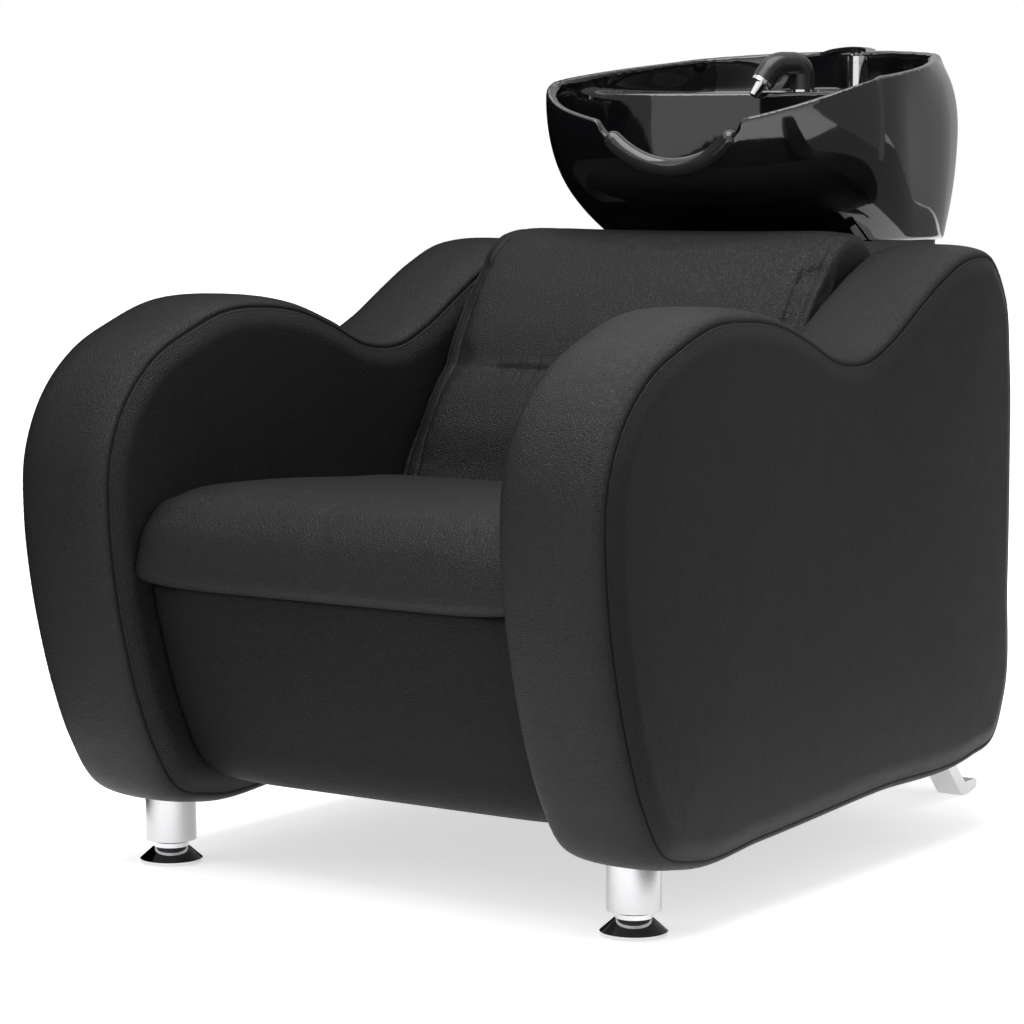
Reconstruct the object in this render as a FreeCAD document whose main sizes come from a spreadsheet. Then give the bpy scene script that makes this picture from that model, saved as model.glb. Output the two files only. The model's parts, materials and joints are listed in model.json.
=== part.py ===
import FreeCAD, Part
import math
import os
import re

import Sketcher

V = FreeCAD.Vector

# Driving sizes in millimetres and degrees. The origin is on the floor under the middle of the chair,
# the sitter faces -Y, and the basin stands at the +Y end.
SIZES = {
    # Whole chair
    "overall_depth": 1166.1,
    "clearance": 0.3,
    "overrun": 10.0,
    # Arms: upholstered slabs, one each side of the seat
    "arm_length": 888.0,
    "arm_height": 612.0,
    "arm_bottom": 81.0,
    "arm_thickness": 123.0,
    "arm_inner_x": 260.0,
    "arm_foam": 14.0,
    "band_crown": 14.0,
    "pad_crown": 9.0,
    "pad_edge_inset": 2.5,
    "pad_face_inset": 34.0,
    "cheek_thickness": 12.0,
    "spacer_depth": 45.0,
    "spacer_height": 28.0,
    "leg_block_base": 116.0,
    # Seat
    "cushion_half_width": 250.7,
    "cushion_cap": 90.0,
    "cushion_end_inset": 9.0,
    "seat_front_setback": 35.0,
    "seat_length": 490.0,
    "back_tuck": 24.0,
    "back_foot_run": 122.0,
    "seat_base": 335.0,
    "seat_thickness": 108.0,
    "seat_board_thickness": 18.0,
    "seat_board_setback": 109.0,
    "seat_board_length": 396.0,
    "seat_board_half_width": 247.0,
    "cleat_width": 30.0,
    "cleat_height": 30.0,
    "cleat_length": 540.0,
    "cleat_setback": 122.0,
    # Front apron below the seat
    "apron_setback": 65.0,
    "apron_run": 150.0,
    "apron_base": 101.0,
    "apron_height": 233.5,
    "apron_foam": 20.0,
    "apron_crown": 4.0,
    "apron_board_thickness": 12.0,
    # Backrest
    "back_run": 398.0,
    "back_base": 345.0,
    "back_height": 372.0,
    "back_end_inset": 10.0,
    "back_board_thickness": 18.0,
    "back_board_height": 280.0,
    "back_board_drop": 21.3,
    "back_lean": 33.58,
    "rear_panel_thickness": 18.0,
    "rear_panel_base": 125.5,
    "rear_panel_top": 582.7,
    "rear_panel_setback": 881.0,
    # Steel base under the arms
    "rail_width": 25.0,
    "rail_height": 25.0,
    "rail_wall": 2.0,
    "rail_base": 100.0,
    "rail_setback": 220.0,
    "rail_length": 845.0,
    "rail_arm_gap": 0.6,
    "cross_depth": 40.0,
    "cross_front_setback": 220.0,
    # Front legs
    "leg_x": 315.0,
    "leg_setback": 176.0,
    "leg_radius": 29.0,
    "leg_wall": 3.0,
    "leg_base": 26.0,
    "leg_plate_side": 78.0,
    "leg_plate_thickness": 4.0,
    "leg_hole_gap": 1.0,
    "insert_height": 50.0,
    "insert_roof": 8.0,
    "stud_radius": 6.0,
    "stud_gap": 0.05,
    "disc_radius": 36.0,
    "disc_rim": 4.0,
    "disc_neck_radius": 20.0,
    "disc_cone_height": 18.0,
    "disc_collar_height": 23.0,
    "leg_screw_radius": 2.5,
    "leg_screw_head_radius": 4.5,
    "leg_screw_head": 3.0,
    "leg_screw_length": 22.0,
    "leg_screw_offset": 33.5,
    # Rear feet
    "rear_foot_x": 242.0,
    "rear_foot_width": 34.0,
    "rear_foot_thickness": 14.0,
    "rear_foot_setback": 858.0,
    "rear_foot_tab": 97.0,
    "rear_foot_run": 84.0,
    "rear_foot_sole": 16.0,
    "rear_foot_toe_run": 24.0,
    "rear_foot_toe_rise": 6.0,
    "rear_foot_toe_thickness": 11.0,
    "rear_foot_crook_run": 7.0,
    "rear_foot_shoulder": 8.0,
    "rear_foot_round": 5.0,
    "foot_bolt_radius": 4.0,
    "foot_bolt_head_radius": 6.5,
    "foot_bolt_head": 5.0,
    "foot_bolt_pitch": 50.0,
    "foot_bolt_first": 20.0,
    # Column behind the backrest
    "post_side": 60.0,
    "post_wall": 3.0,
    "post_top": 600.0,
    "tilt_setback": 1025.0,
    "tilt_height": 655.0,
    "cowl_front_setback": 900.5,
    "cowl_depth": 194.5,
    "cowl_base": 125.5,
    "cowl_top": 680.0,
    "cowl_wall": 4.0,
    "cowl_foot_half_width": 150.0,
    "cowl_top_half_width": 168.0,
    "cowl_round": 34.0,
    "cover_width": 200.0,
    "cover_height": 320.0,
    "cover_base": 210.0,
    "cover_thickness": 3.0,
    "cover_lap": 14.0,
    "cover_screw_radius": 2.0,
    "cover_screw_head_radius": 4.0,
    "cover_screw_head": 2.2,
    "cover_screw_length": 10.0,
    "service_plate_thickness": 3.0,
    # Tilt hinge under the basin
    "pin_radius": 8.0,
    "pin_gap": 0.05,
    "bush_radius": 11.0,
    "bush_flange_radius": 14.0,
    "bush_flange": 1.5,
    "ear_thickness": 6.0,
    "ear_half_span": 55.0,
    "ear_depth": 50.0,
    "cradle_ear_half_span": 47.2,
    "cradle_plate_thickness": 5.0,
    "cradle_half_width": 100.0,
    "cradle_length": 160.0,
    "cradle_setback": 891.0,
    "bracket_plate_thickness": 6.0,
    "pin_head_radius": 13.0,
    "pin_head": 6.0,
    "basin_bolt_radius": 4.0,
    "basin_bolt_head_radius": 6.5,
    "basin_bolt_head": 5.0,
    "basin_bolt_depth": 12.0,
    "basin_bolt_gap": 0.4,
    "basin_bolt_x": 80.0,
    "basin_bolt_front_setback": 903.0,
    "basin_bolt_rear_setback": 1020.0,
    # Basin
    "basin_half_width": 246.0,
    "basin_half_length": 218.7,
    "basin_depth": 235.0,
    "basin_lean": 7.8,
    "basin_setback": 949.0,
    "basin_rim_height": 916.0,
    "basin_base": 703.0,
    "basin_wall": 13.0,
    "bowl_floor": 735.0,
    "ledge_setback": 1049.0,
    "bowl_round_setback": 900.0,
    "ledge_drop": 26.0,
    "ledge_thickness": 12.0,
    "neck_cut_radius": 120.0,
    "neck_cut_rise": 24.0,
    "neck_dip_radius": 665.0,
    "neck_dip_half_width": 238.0,
    "neck_rest_radius": 12.0,
    "neck_rest_half_angle": 44.0,
    "neck_rest_setback_share": 0.965,
    "skirt_half_width": 184.0,
    "skirt_front_setback": 884.0,
    "skirt_depth": 228.0,
    "skirt_wall": 3.0,
    "skirt_height": 31.0,
    "skirt_round": 30.0,
    # Waste
    "waste_setback": 940.0,
    "waste_flange_radius": 36.0,
    "waste_flange_thickness": 3.0,
    "waste_tail_radius": 20.0,
    "waste_bore_radius": 17.0,
    "waste_tail_end": 640.0,
    "waste_hole_radius": 22.0,
    "waste_nut_radius": 32.0,
    "waste_nut_height": 12.0,
    "waste_gasket": 3.0,
    "strainer_radius": 28.0,
    "strainer_thickness": 2.0,
    "strainer_cup_radius": 15.5,
    "strainer_cup_depth": 12.0,
    "strainer_hole_radius": 2.2,
    "strainer_hole_circle": 9.0,
    "strainer_holes": 6.0,
    "strainer_wall": 2.0,
    "strainer_knob_radius": 4.0,
    "strainer_knob_height": 9.0,
    "drain_radius": 19.0,
    "drain_bore_radius": 16.5,
    "drain_outlet_length": 75.0,
    "drain_cuff_radius": 20.0,
    "drain_cuff_length": 22.0,
    "drain_outlet_base": 100.0,
    "drain_flange_radius": 27.0,
    "drain_flange": 4.0,
    # Water supply
    "valve_x": 62.0,
    "valve_setback": 940.0,
    "inlet_radius": 10.48,
    "inlet_bore_radius": 7.0,
    "inlet_length": 14.0,
    "inlet_neck_radius": 9.5,
    "inlet_base": 106.0,
    "valve_radius": 15.0,
    "valve_height": 40.0,
    "valve_neck_radius": 8.0,
    "valve_neck": 14.0,
    "hose_radius": 6.0,
    "hose_tail_circle": 7.5,
    "hose_plane_x": 84.0,
    "hose_plane_setback": 1073.0,
    # Mixer tap
    "mixer_x": 66.0,
    "mixer_setback": 1095.0,
    "mixer_flange_radius": 21.0,
    "mixer_flange": 4.0,
    "mixer_radius": 14.0,
    "mixer_height": 36.0,
    "mixer_shank_radius": 13.5,
    "mixer_shank": 30.0,
    "mixer_hole_gap": 0.5,
    "mixer_nut_radius": 22.0,
    "mixer_nut_height": 8.0,
    "dome_height": 9.0,
    "dome_stem_radius": 6.0,
    "dome_stem": 6.0,
    "dome_gap": 0.4,
    "dome_pin_height": 2.6,
    "dome_pin_radius": 2.0,
    "dome_pin_length": 22.0,
    "dome_lug_width": 8.4,
    "lever_width": 26.0,
    "lever_thickness": 5.0,
    "lever_reach": 48.0,
    "lever_tail": 19.0,
    "lever_tip_drop": 6.0,
    "lever_hub_wall": 0.6,
    "lever_underside": 4.3,
    # Hand shower
    "shower_x": -12.0,
    "shower_setback": 1090.0,
    "shower_radius": 16.0,
    "shower_handle_radius": 12.0,
    "shower_seat_depth": 14.0,
    "shower_rise": 36.0,
    "shower_reach": 40.0,
    "shower_nose_run": 16.0,
    "shower_nose_drop": 22.0,
    "shower_heading": 234.0,
    "shower_ring_height": 5.0,
    "shower_ring_radius": 15.0,
    "shower_nozzle_radius": 8.0,
    "shower_nozzle_tip_radius": 6.0,
    "shower_nozzle_length": 18.0,
    "holder_radius": 17.0,
    "holder_flange_radius": 22.0,
    "holder_flange": 3.0,
    "holder_gap": 0.35,
    "holder_floor": 4.0,
    "shower_hose_radius": 5.5,
    "shower_hose_drop": 120.0,
}

doc = FreeCAD.newDocument("backwash_chair")
sheet = doc.addObject("Spreadsheet::Sheet", "sizes")
for row, (alias, value) in enumerate(SIZES.items(), start=1):
    sheet.set("A%d" % row, alias)
    sheet.set("B%d" % row, "%.10g" % value)
    sheet.setAlias("B%d" % row, alias)
doc.recompute()


class Sizes:
    """The spreadsheet's cells, read by name."""

    def __getattr__(self, alias):
        return float(sheet.get(alias))


s = Sizes()
NODES = []


# Expressions and finished pieces
def cells(text):
    """An expression over the spreadsheet, from one written with bare cell names."""
    return re.sub(r"[a-z]\w*", lambda m: "sizes." + m[0] if m[0] in SIZES else m[0], text)


def bind(piece, **texts):
    for prop, text in texts.items():
        piece.setExpression(prop, cells(text))
    return piece


def value_of(text):
    """The number that an expression gives."""
    result = sheet.evalExpression(cells(text))
    return float(getattr(result, "Value", result))


def place(piece, x, y, z):
    for axis, text in zip("xyz", (x, y, z)):
        piece.setExpression("Placement.Base." + axis, cells(text))
    return piece


def node(piece, label):
    """Marks a finished sub-part: its label names its file."""
    piece.Label = label
    NODES.append(piece)
    return piece


FRONT = "(0 - overall_depth / 2)"


def from_front(setback):
    """The Y of a place given by its distance behind the front of the chair, as an expression."""
    return FRONT + " + " + setback


def front(setback):
    """The same as a number."""
    return setback - s.overall_depth / 2


# Primitives and booleans
def box(name, length, width, height, x, y, z):
    piece = doc.addObject("Part::Box", name)
    return place(bind(piece, Length=length, Width=width, Height=height), x, y, z)


TURNS = {
    "z": FreeCAD.Rotation(),
    "x": FreeCAD.Rotation(V(0, 1, 0), 90),
    "y": FreeCAD.Rotation(V(1, 0, 0), -90),
}


def cylinder(name, radius, height, x, y, z, axis="z"):
    piece = doc.addObject("Part::Cylinder", name)
    piece.Placement = FreeCAD.Placement(V(), TURNS[axis])
    return place(bind(piece, Radius=radius, Height=height), x, y, z)


def group(name, pieces):
    piece = doc.addObject("Part::Compound", name)
    piece.Links = pieces
    return piece


def cut(name, base, *tools):
    piece = doc.addObject("Part::Cut", name)
    piece.Base = base
    piece.Tool = tools[0] if len(tools) == 1 else group(name + "_tools", list(tools))
    return piece


def fuse(name, *pieces):
    piece = doc.addObject("Part::MultiFuse", name)
    piece.Shapes = list(pieces)
    return piece


def shaped(name, shape):
    piece = doc.addObject("Part::Feature", name)
    piece.Shape = shape
    return piece


# Bodies with sketches
def origin_plane(body, role):
    return [f for f in body.Origin.OriginFeatures if f.Role == role][0]


def polygon_sketch(body, name, role, corners):
    """A closed polygon whose corners' places are bound to the spreadsheet."""
    sketch = body.newObject("Sketcher::SketchObject", name)
    sketch.AttachmentSupport = [(origin_plane(body, role), "")]
    sketch.MapMode = "FlatFace"
    texts = [(cells(a), cells(b)) for a, b in corners]
    points = [V(value_of(a), value_of(b), 0) for a, b in corners]
    count = len(points)
    for i in range(count):
        sketch.addGeometry(Part.LineSegment(points[i], points[(i + 1) % count]))
    for i in range(count):
        sketch.addConstraint(Sketcher.Constraint("Coincident", i, 2, (i + 1) % count, 1))
    for i, (pair, point) in enumerate(zip(texts, points)):
        for kind, text, value, axis in (("DistanceX", pair[0], point.x, -2),
                                        ("DistanceY", pair[1], point.y, -1)):
            if text == "0":
                sketch.addConstraint(Sketcher.Constraint("PointOnObject", i, 1, axis))
                continue
            number = sketch.addConstraint(Sketcher.Constraint(kind, -1, 1, i, 1, value))
            sketch.setExpression("Constraints[%d]" % number, text)
    return sketch


def turned(name, corners):
    """A body turned about its own Z axis from a profile of (radius, height) corners."""
    body = doc.addObject("PartDesign::Body", name)
    sketch = polygon_sketch(body, name + "_profile", "XZ_Plane", corners)
    spin = body.newObject("PartDesign::Revolution", name + "_turn")
    spin.Profile = sketch
    spin.ReferenceAxis = (sketch, ["V_Axis"])
    spin.Angle = 360
    doc.recompute()
    return body


def padded(name, role, corners, length):
    """A body pushed out of an origin plane from a polygon."""
    body = doc.addObject("PartDesign::Body", name)
    sketch = polygon_sketch(body, name + "_profile", role, corners)
    pad = body.newObject("PartDesign::Pad", name + "_pad")
    pad.Profile = sketch
    pad.setExpression("Length", cells(length))
    doc.recompute()
    return body


# Smooth outlines made of arcs
def unit(angle):
    return math.cos(angle), math.sin(angle)


def angle_of(a, b):
    return math.atan2(b[1] - a[1], b[0] - a[0])


def with_headings(nodes, closed):
    """Each node as a point with the heading that the outline arrives and leaves with."""
    out = []
    last = len(nodes) - 1
    for i, item in enumerate(nodes):
        if len(item) == 2:
            before = nodes[i - 1] if closed or i > 0 else nodes[i]
            after = nodes[(i + 1) % len(nodes)] if closed or i < last else nodes[i]
            arrive = angle_of(before, item) + angle_of(item, after) - angle_of(before, after)
            leave = arrive
        else:
            arrive = math.radians(item[2])
            leave = math.radians(item[-1])
        out.append(((item[0], item[1]), arrive, leave))
    return out


def biarc_joint(a, heading_a, b, heading_b):
    """Where the two arcs meet that join a to b with these headings."""
    ta, tb = unit(heading_a), unit(heading_b)
    chord = (b[0] - a[0], b[1] - a[1])
    total = (ta[0] + tb[0], ta[1] + tb[1])
    along = chord[0] * total[0] + chord[1] * total[1]
    square = chord[0] ** 2 + chord[1] ** 2
    bend = 2 * (1 - ta[0] * tb[0] - ta[1] * tb[1])
    if bend < 1e-9:
        reach = square / (2 * along)
    else:
        reach = (math.sqrt(along ** 2 + bend * square) - along) / bend
    return ((a[0] + b[0] + reach * (ta[0] - tb[0])) / 2, (a[1] + b[1] + reach * (ta[1] - tb[1])) / 2)


def arc_middle(a, heading, b):
    """The middle of the arc that leaves a with this heading and ends at b, and the heading there."""
    chord = angle_of(a, b)
    lean = math.remainder(heading - chord, 2 * math.pi)
    half = math.hypot(b[0] - a[0], b[1] - a[1]) / 2
    rise = half * math.tan(lean / 2)
    ux, uy = unit(chord)
    return ((a[0] + b[0]) / 2 - uy * rise, (a[1] + b[1]) / 2 + ux * rise), chord, 2 * chord - heading


def arcs_of(nodes, closed=True):
    """The arcs of an outline: for each its start, middle and end with the outward direction there."""
    turned_nodes = with_headings(nodes, closed)
    area = sum(nodes[i - 1][0] * nodes[i][1] - nodes[i][0] * nodes[i - 1][1] for i in range(len(nodes)))
    side = -1 if area > 0 else 1

    def outward(heading):
        return -side * math.sin(heading), side * math.cos(heading)

    def corner(arrive, leave):
        (ax, ay), (bx, by) = outward(arrive), outward(leave)
        share = 1 + ax * bx + ay * by
        return (ax + bx) / share, (ay + by) / share

    arcs = []
    count = len(turned_nodes)
    for i in range(count if closed else count - 1):
        a, arrive_a, leave_a = turned_nodes[i]
        b, arrive_b, leave_b = turned_nodes[(i + 1) % count]
        joint = biarc_joint(a, leave_a, b, arrive_b)
        middle, heading, at_joint = arc_middle(a, leave_a, joint)
        start = corner(arrive_a, leave_a) if closed or i > 0 else outward(leave_a)
        arcs.append((a, start, middle, outward(heading), joint, outward(at_joint)))
        middle, heading, _ = arc_middle(joint, at_joint, b)
        end = corner(arrive_b, leave_b) if closed or i < count - 2 else outward(arrive_b)
        arcs.append((joint, outward(at_joint), middle, outward(heading), b, end))
    return arcs


def moved(point, direction, grow):
    return point[0] + direction[0] * grow, point[1] + direction[1] * grow


def edges_of(arcs, grow, to_space):
    """The arcs as edges, moved outward by grow, in the space that to_space puts them in."""
    edges = []
    for a, out_a, m, out_m, b, out_b in arcs:
        start, middle, end = moved(a, out_a, grow), moved(m, out_m, grow), moved(b, out_b, grow)
        ux, uy = unit(angle_of(start, end))
        chord = math.hypot(end[0] - start[0], end[1] - start[1])
        sag = abs((middle[1] - start[1]) * ux - (middle[0] - start[0]) * uy)
        ends = to_space(*start), to_space(*end)
        if sag < chord / 10000:
            edges.append(Part.LineSegment(*ends).toShape())
        else:
            edges.append(Part.Arc(ends[0], to_space(*middle), ends[1]).toShape())
    return edges


def outline(nodes, grow, to_space):
    return Part.Wire(edges_of(arcs_of(nodes), grow, to_space))


def strip(nodes, outer, inner, to_space):
    """A closed wire between two offsets of an open chain."""
    arcs = arcs_of(nodes, closed=False)
    far = edges_of(arcs, outer, to_space)
    near = edges_of(arcs, inner, to_space)
    first = Part.LineSegment(near[0].firstVertex(True).Point, far[0].firstVertex(True).Point).toShape()
    last = Part.LineSegment(far[-1].lastVertex(True).Point, near[-1].lastVertex(True).Point).toShape()
    return Part.Wire(Part.__sortEdges__(far + [last] + near + [first]))


LOFT_DEGREE = 3


def loft(wires, ruled=False):
    return Part.makeLoft(wires, True, ruled, False, LOFT_DEGREE)


def prism(wire, way):
    return Part.Face(wire).extrude(way)


def side_plane(x):
    """Puts an outline of (y, z) points in the plane at this x."""
    return lambda y, z: V(x, y, z)


def scaled(shares, y_from, y_size, z_from, z_size):
    """An outline's table of shares as real places, with its headings kept."""
    return [(y_from + item[0] * y_size, z_from + item[1] * z_size) + tuple(item[2:]) for item in shares]


# Tubes along a route
def route_edges(points):
    """Straight runs joined by tangent arcs, each as large as its two runs allow."""
    edges = []
    here = points[0]
    for i in range(1, len(points) - 1):
        to_here = points[i] - points[i - 1]
        onward = points[i + 1] - points[i]
        turn = to_here.getAngle(onward)
        setback = 0.45 * min(to_here.Length, onward.Length)
        radius = setback / math.tan(turn / 2)
        start = points[i] - V(to_here).normalize() * setback
        end = points[i] + V(onward).normalize() * setback
        inward = (V(onward).normalize() - V(to_here).normalize()).normalize()
        middle = points[i] + inward * (radius / math.cos(turn / 2) - radius)
        edges.append(Part.LineSegment(here, start).toShape())
        edges.append(Part.Arc(start, middle, end).toShape())
        here = end
    edges.append(Part.LineSegment(here, points[-1]).toShape())
    return edges


def tube(points, radius, bore=0):
    """A round tube along a route."""
    path = Part.Wire(route_edges(points))
    way = points[1] - points[0]
    shell = path.makePipe(Part.Face(Part.Wire(Part.makeCircle(radius, points[0], way))))
    if bore:
        shell = shell.cut(path.makePipe(Part.Face(Part.Wire(Part.makeCircle(bore, points[0], way)))))
    return shell


SIDES = {"left": -1, "right": 1}


# Arms: the side outline as shares of the arm's length from its front and of its height from its bottom
ARM_SHARES = [
    (0.124, 0.030), (0.079, 0.118), (0.049, 0.217), (0.026, 0.325), (0.010, 0.430), (0.001, 0.540),
    (0.004, 0.648), (0.034, 0.746), (0.090, 0.823), (0.158, 0.868), (0.228, 0.899), (0.303, 0.903),
    (0.378, 0.890), (0.450, 0.857), (0.522, 0.817), (0.597, 0.813), (0.667, 0.850), (0.735, 0.904),
    (0.803, 0.955), (0.874, 0.990), (0.936, 0.985), (0.980, 0.910), (0.995, 0.785), (1.000, 0.570),
    (0.999, 0.350), (0.993, 0.130), (0.962, 0.055), (0.905, 0.036), (0.650, 0.027), (0.350, 0.008),
    (0.196, 0.002),
]
SPACER_SHARES = [
    (0.045, 0.50), (0.20, 0.81), (0.55, 0.70), (0.82, 0.85), (0.90, 0.45), (0.88, 0.10), (0.45, 0.08),
]
BAND_SECTIONS = 9
BAND_FULLNESS = 0.8
PAD_SECTIONS = 7


def arm_nodes():
    return scaled(ARM_SHARES, front(s.band_crown), s.arm_length, s.arm_bottom, s.arm_height)


def arm_prism(inset, x_from, x_to):
    return prism(outline(arm_nodes(), -inset, side_plane(x_from)), V(x_to - x_from, 0, 0))


def leg_passage(side):
    """The round hole that the leg tube passes through."""
    radius = s.leg_radius + s.leg_hole_gap
    return Part.makeCylinder(radius, s.leg_block_base, V(SIDES[side] * s.leg_x, front(s.leg_setback), 0))


def arm_band(side):
    """The padded band that wraps the edge of the arm, crowned between its two seams."""
    x_from, width = s.arm_inner_x, s.arm_thickness
    nodes = arm_nodes()
    wires = []
    for i in range(BAND_SECTIONS):
        angle = math.pi * i / (BAND_SECTIONS - 1)
        across = math.copysign(abs(math.cos(angle)) ** BAND_FULLNESS, math.cos(angle))
        crown = abs(math.sin(angle)) ** BAND_FULLNESS * s.band_crown if 0 < i < BAND_SECTIONS - 1 else 0
        wires.append(outline(nodes, crown, side_plane(x_from + width * (1 - across) / 2)))
    shape = loft(wires).cut(arm_prism(s.arm_foam, x_from - s.overrun, x_from + width + s.overrun))
    if side == "left":
        shape = shape.mirror(V(), V(1, 0, 0))
    return shape.cut(leg_passage(side))


def arm_pad(side, outer):
    """A padded side of the arm: flat where it rests on the cheek, crowned where it shows."""
    seam = s.arm_inner_x + (s.arm_thickness if outer else 0)
    way = 1 if outer else -1
    nodes = arm_nodes()
    wires = []
    for i in range(PAD_SECTIONS):
        angle = math.pi / 2 * i / (PAD_SECTIONS - 1)
        inset = s.pad_edge_inset + (1 - math.cos(angle)) * (s.pad_face_inset - s.pad_edge_inset)
        wires.append(outline(nodes, -inset, side_plane(seam + way * math.sin(angle) * s.pad_crown)))
    shape = loft(wires)
    return shape.mirror(V(), V(1, 0, 0)) if side == "left" else shape


def arm_frame(side):
    """Two plywood cheeks with timber spacers between them and a block for the leg."""
    inset = s.arm_foam + s.clearance
    inner, outer = s.arm_inner_x, s.arm_inner_x + s.arm_thickness
    thickness = s.cheek_thickness
    solids = [arm_prism(inset, inner, inner + thickness), arm_prism(inset, outer - thickness, outer)]
    gap = s.arm_thickness - 2 * thickness
    for y_share, z_share in SPACER_SHARES:
        y = front(s.band_crown) + y_share * s.arm_length
        z = s.arm_bottom + z_share * s.arm_height
        solids.append(Part.makeBox(gap, s.spacer_depth, s.spacer_height, V(inner + thickness, y, z)))
    half_plate = s.leg_plate_side / 2
    corner = V(inner + thickness, front(s.leg_setback) - half_plate, s.leg_block_base)
    block = Part.makeBox(gap, s.leg_plate_side, s.spacer_height, corner)
    for a in SIDES.values():
        for b in SIDES.values():
            foot = V(s.leg_x + a * s.leg_screw_offset, front(s.leg_setback) + b * s.leg_screw_offset,
                     s.leg_block_base)
            block = block.cut(Part.makeCylinder(s.leg_screw_radius + s.clearance, s.spacer_height, foot))
    solids.append(block)
    shape = Part.makeCompound(solids)
    return shape.mirror(V(), V(1, 0, 0)) if side == "left" else shape


for side in SIDES:
    node(shaped("arm_frame_" + side, arm_frame(side)), "arm_frame_" + side)
    node(shaped("arm_band_" + side, arm_band(side)), "arm_band_" + side)
    node(shaped("arm_outer_pad_" + side, arm_pad(side, True)), "arm_outer_pad_" + side)
    node(shaped("arm_inner_pad_" + side, arm_pad(side, False)), "arm_inner_pad_" + side)


# Cushions: straight across the middle, drawn in and rounded over a cap at each end
CAP_SECTIONS = 7


def capped(section):
    """A solid from section(x, end share), where the share runs over each cap from 0 to 1."""
    straight = s.cushion_half_width - s.cushion_cap
    middle = prism(section(-straight, 0), V(2 * straight, 0, 0))
    wires = []
    for i in range(CAP_SECTIONS):
        angle = math.pi / 2 * i / (CAP_SECTIONS - 1)
        wires.append(section(straight + s.cushion_cap * math.sin(angle), 1 - math.cos(angle)))
    cap = loft(wires)
    return middle.fuse([cap, cap.mirror(V(), V(1, 0, 0))]).removeSplitter()


def cushion(nodes, inset, fall_share):
    """A cushion whose caps shrink by the inset and lose a share of its height."""
    base = min(item[1] for item in nodes)

    def section(x, end_share):
        fall = 1 - fall_share * end_share
        lowered = [(item[0], base + (item[1] - base) * fall) + tuple(item[2:]) for item in nodes]
        return outline(lowered, -inset * end_share, side_plane(x))

    return capped(section)


# The seat cushion's side outline, as shares of its length from the front and of its thickness
SEAT_SHARES = [
    (0.905, 0.0, 180), (0.055, 0.0, 180), (0.002, 0.172, 92), (0.010, 0.467, 77), (0.065, 0.836, 42),
    (0.162, 0.975, 12), (0.273, 1.0, 0), (0.606, 0.934, -4), (0.935, 0.830, -8), (0.977, 0.690, -100),
    (0.936, 0.139, -111),
]
SEAT_FALL_SHARE = 0.05


def seat_cushion():
    nodes = scaled(SEAT_SHARES, front(s.seat_front_setback), s.seat_length, s.seat_base, s.seat_thickness)
    return cushion(nodes, s.cushion_end_inset, SEAT_FALL_SHARE)


# The back cushion's side outline, as shares of its run from front to rear and of its height: the
# front face with the lumbar seam, the rolled top, and the rear face that rests on the back board
BACK_SHARES = [
    (0.008, 0.055, 68), (0.046, 0.180, 66), (0.136, 0.390, 60), (0.262, 0.567, 42, 68),
    (0.327, 0.702, 55),
    (0.427, 0.846, 47), (0.550, 0.971, 32), (0.676, 1.013, 0), (0.769, 0.975, -38), (0.925, 0.800, -50),
    (1.0, 0.640, -80, 180), (0.703, 0.640, 180, -123.58), (0.307, 0.0, -123.58, 180), (0.095, 0.0, 180),
]


def back_setback():
    """Where the foot of the back starts, tucked in behind the seat."""
    return s.seat_front_setback + s.seat_length - s.back_tuck


def back_cushion():
    nodes = scaled(BACK_SHARES, front(back_setback()), s.back_run, s.back_base, s.back_height)
    return cushion(nodes, s.back_end_inset, 0)


# The apron's front face from its tucked-under foot to its top, as shares of its run and height
APRON_SHARES = [
    (0.987, 0.004, 178), (0.773, 0.025, 160), (0.573, 0.110, 133), (0.360, 0.342, 116),
    (0.153, 0.693, 107),
    (0.020, 1.0, 103),
]


def apron_nodes():
    return scaled(APRON_SHARES, front(s.apron_setback), s.apron_run, s.apron_base, s.apron_height)


def below_seat(shape):
    """Trims a piece level under the seat cushion."""
    half = s.cushion_half_width + s.overrun
    corner = V(-half, front(0), s.seat_base - s.clearance)
    return shape.cut(Part.makeBox(2 * half, s.seat_length, s.seat_thickness, corner))


def apron_pad():
    def section(x, end_share):
        return strip(apron_nodes(), s.apron_crown * (1 - 2 * end_share), -s.apron_foam, side_plane(x))

    return below_seat(capped(section))


def apron_board():
    inner = s.apron_foam + s.clearance
    wire = strip(apron_nodes(), -inner, -inner - s.apron_board_thickness,
                 side_plane(-s.cushion_half_width))
    return below_seat(prism(wire, V(2 * s.cushion_half_width, 0, 0)))


def seat_boards():
    """The plywood seat board and the battens on the arms that carry it."""
    board = box("seat_board_blank", "2 * seat_board_half_width", "seat_board_length",
                "seat_board_thickness",
                "0 - seat_board_half_width", from_front("seat_board_setback"),
                "seat_base - seat_board_thickness")
    node(board, "seat_board")
    battens = []
    for side, sign in SIDES.items():
        x = "arm_inner_x - pad_crown - clearance - cleat_width"
        x = x if sign > 0 else "0 - arm_inner_x + pad_crown + clearance"
        z = "seat_base - seat_board_thickness - cleat_height"
        battens.append(box("cleat_" + side, "cleat_width", "cleat_length", "cleat_height",
                           x, from_front("cleat_setback"), z))
    node(group("cleats", battens), "seat_cleats")


def back_board():
    """A board behind the back cushion, leaning with it."""
    board = doc.addObject("Part::Box", "back_board_blank")
    bind(board, Length="2 * seat_board_half_width", Width="back_board_thickness",
         Height="back_board_height")
    board.Placement = FreeCAD.Placement(V(), FreeCAD.Rotation(V(-1, 0, 0), s.back_lean))
    board.setExpression("Placement.Rotation.Angle", cells("back_lean"))
    across, down = "clearance * cos(back_lean)", "clearance * sin(back_lean)"
    place(board, "0 - seat_board_half_width",
          from_front("seat_front_setback + seat_length - back_tuck + back_foot_run")
          + " + " + across + " - back_board_drop * sin(back_lean)",
          "back_base - " + down + " - back_board_drop * cos(back_lean)")
    node(board, "back_board")


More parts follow.
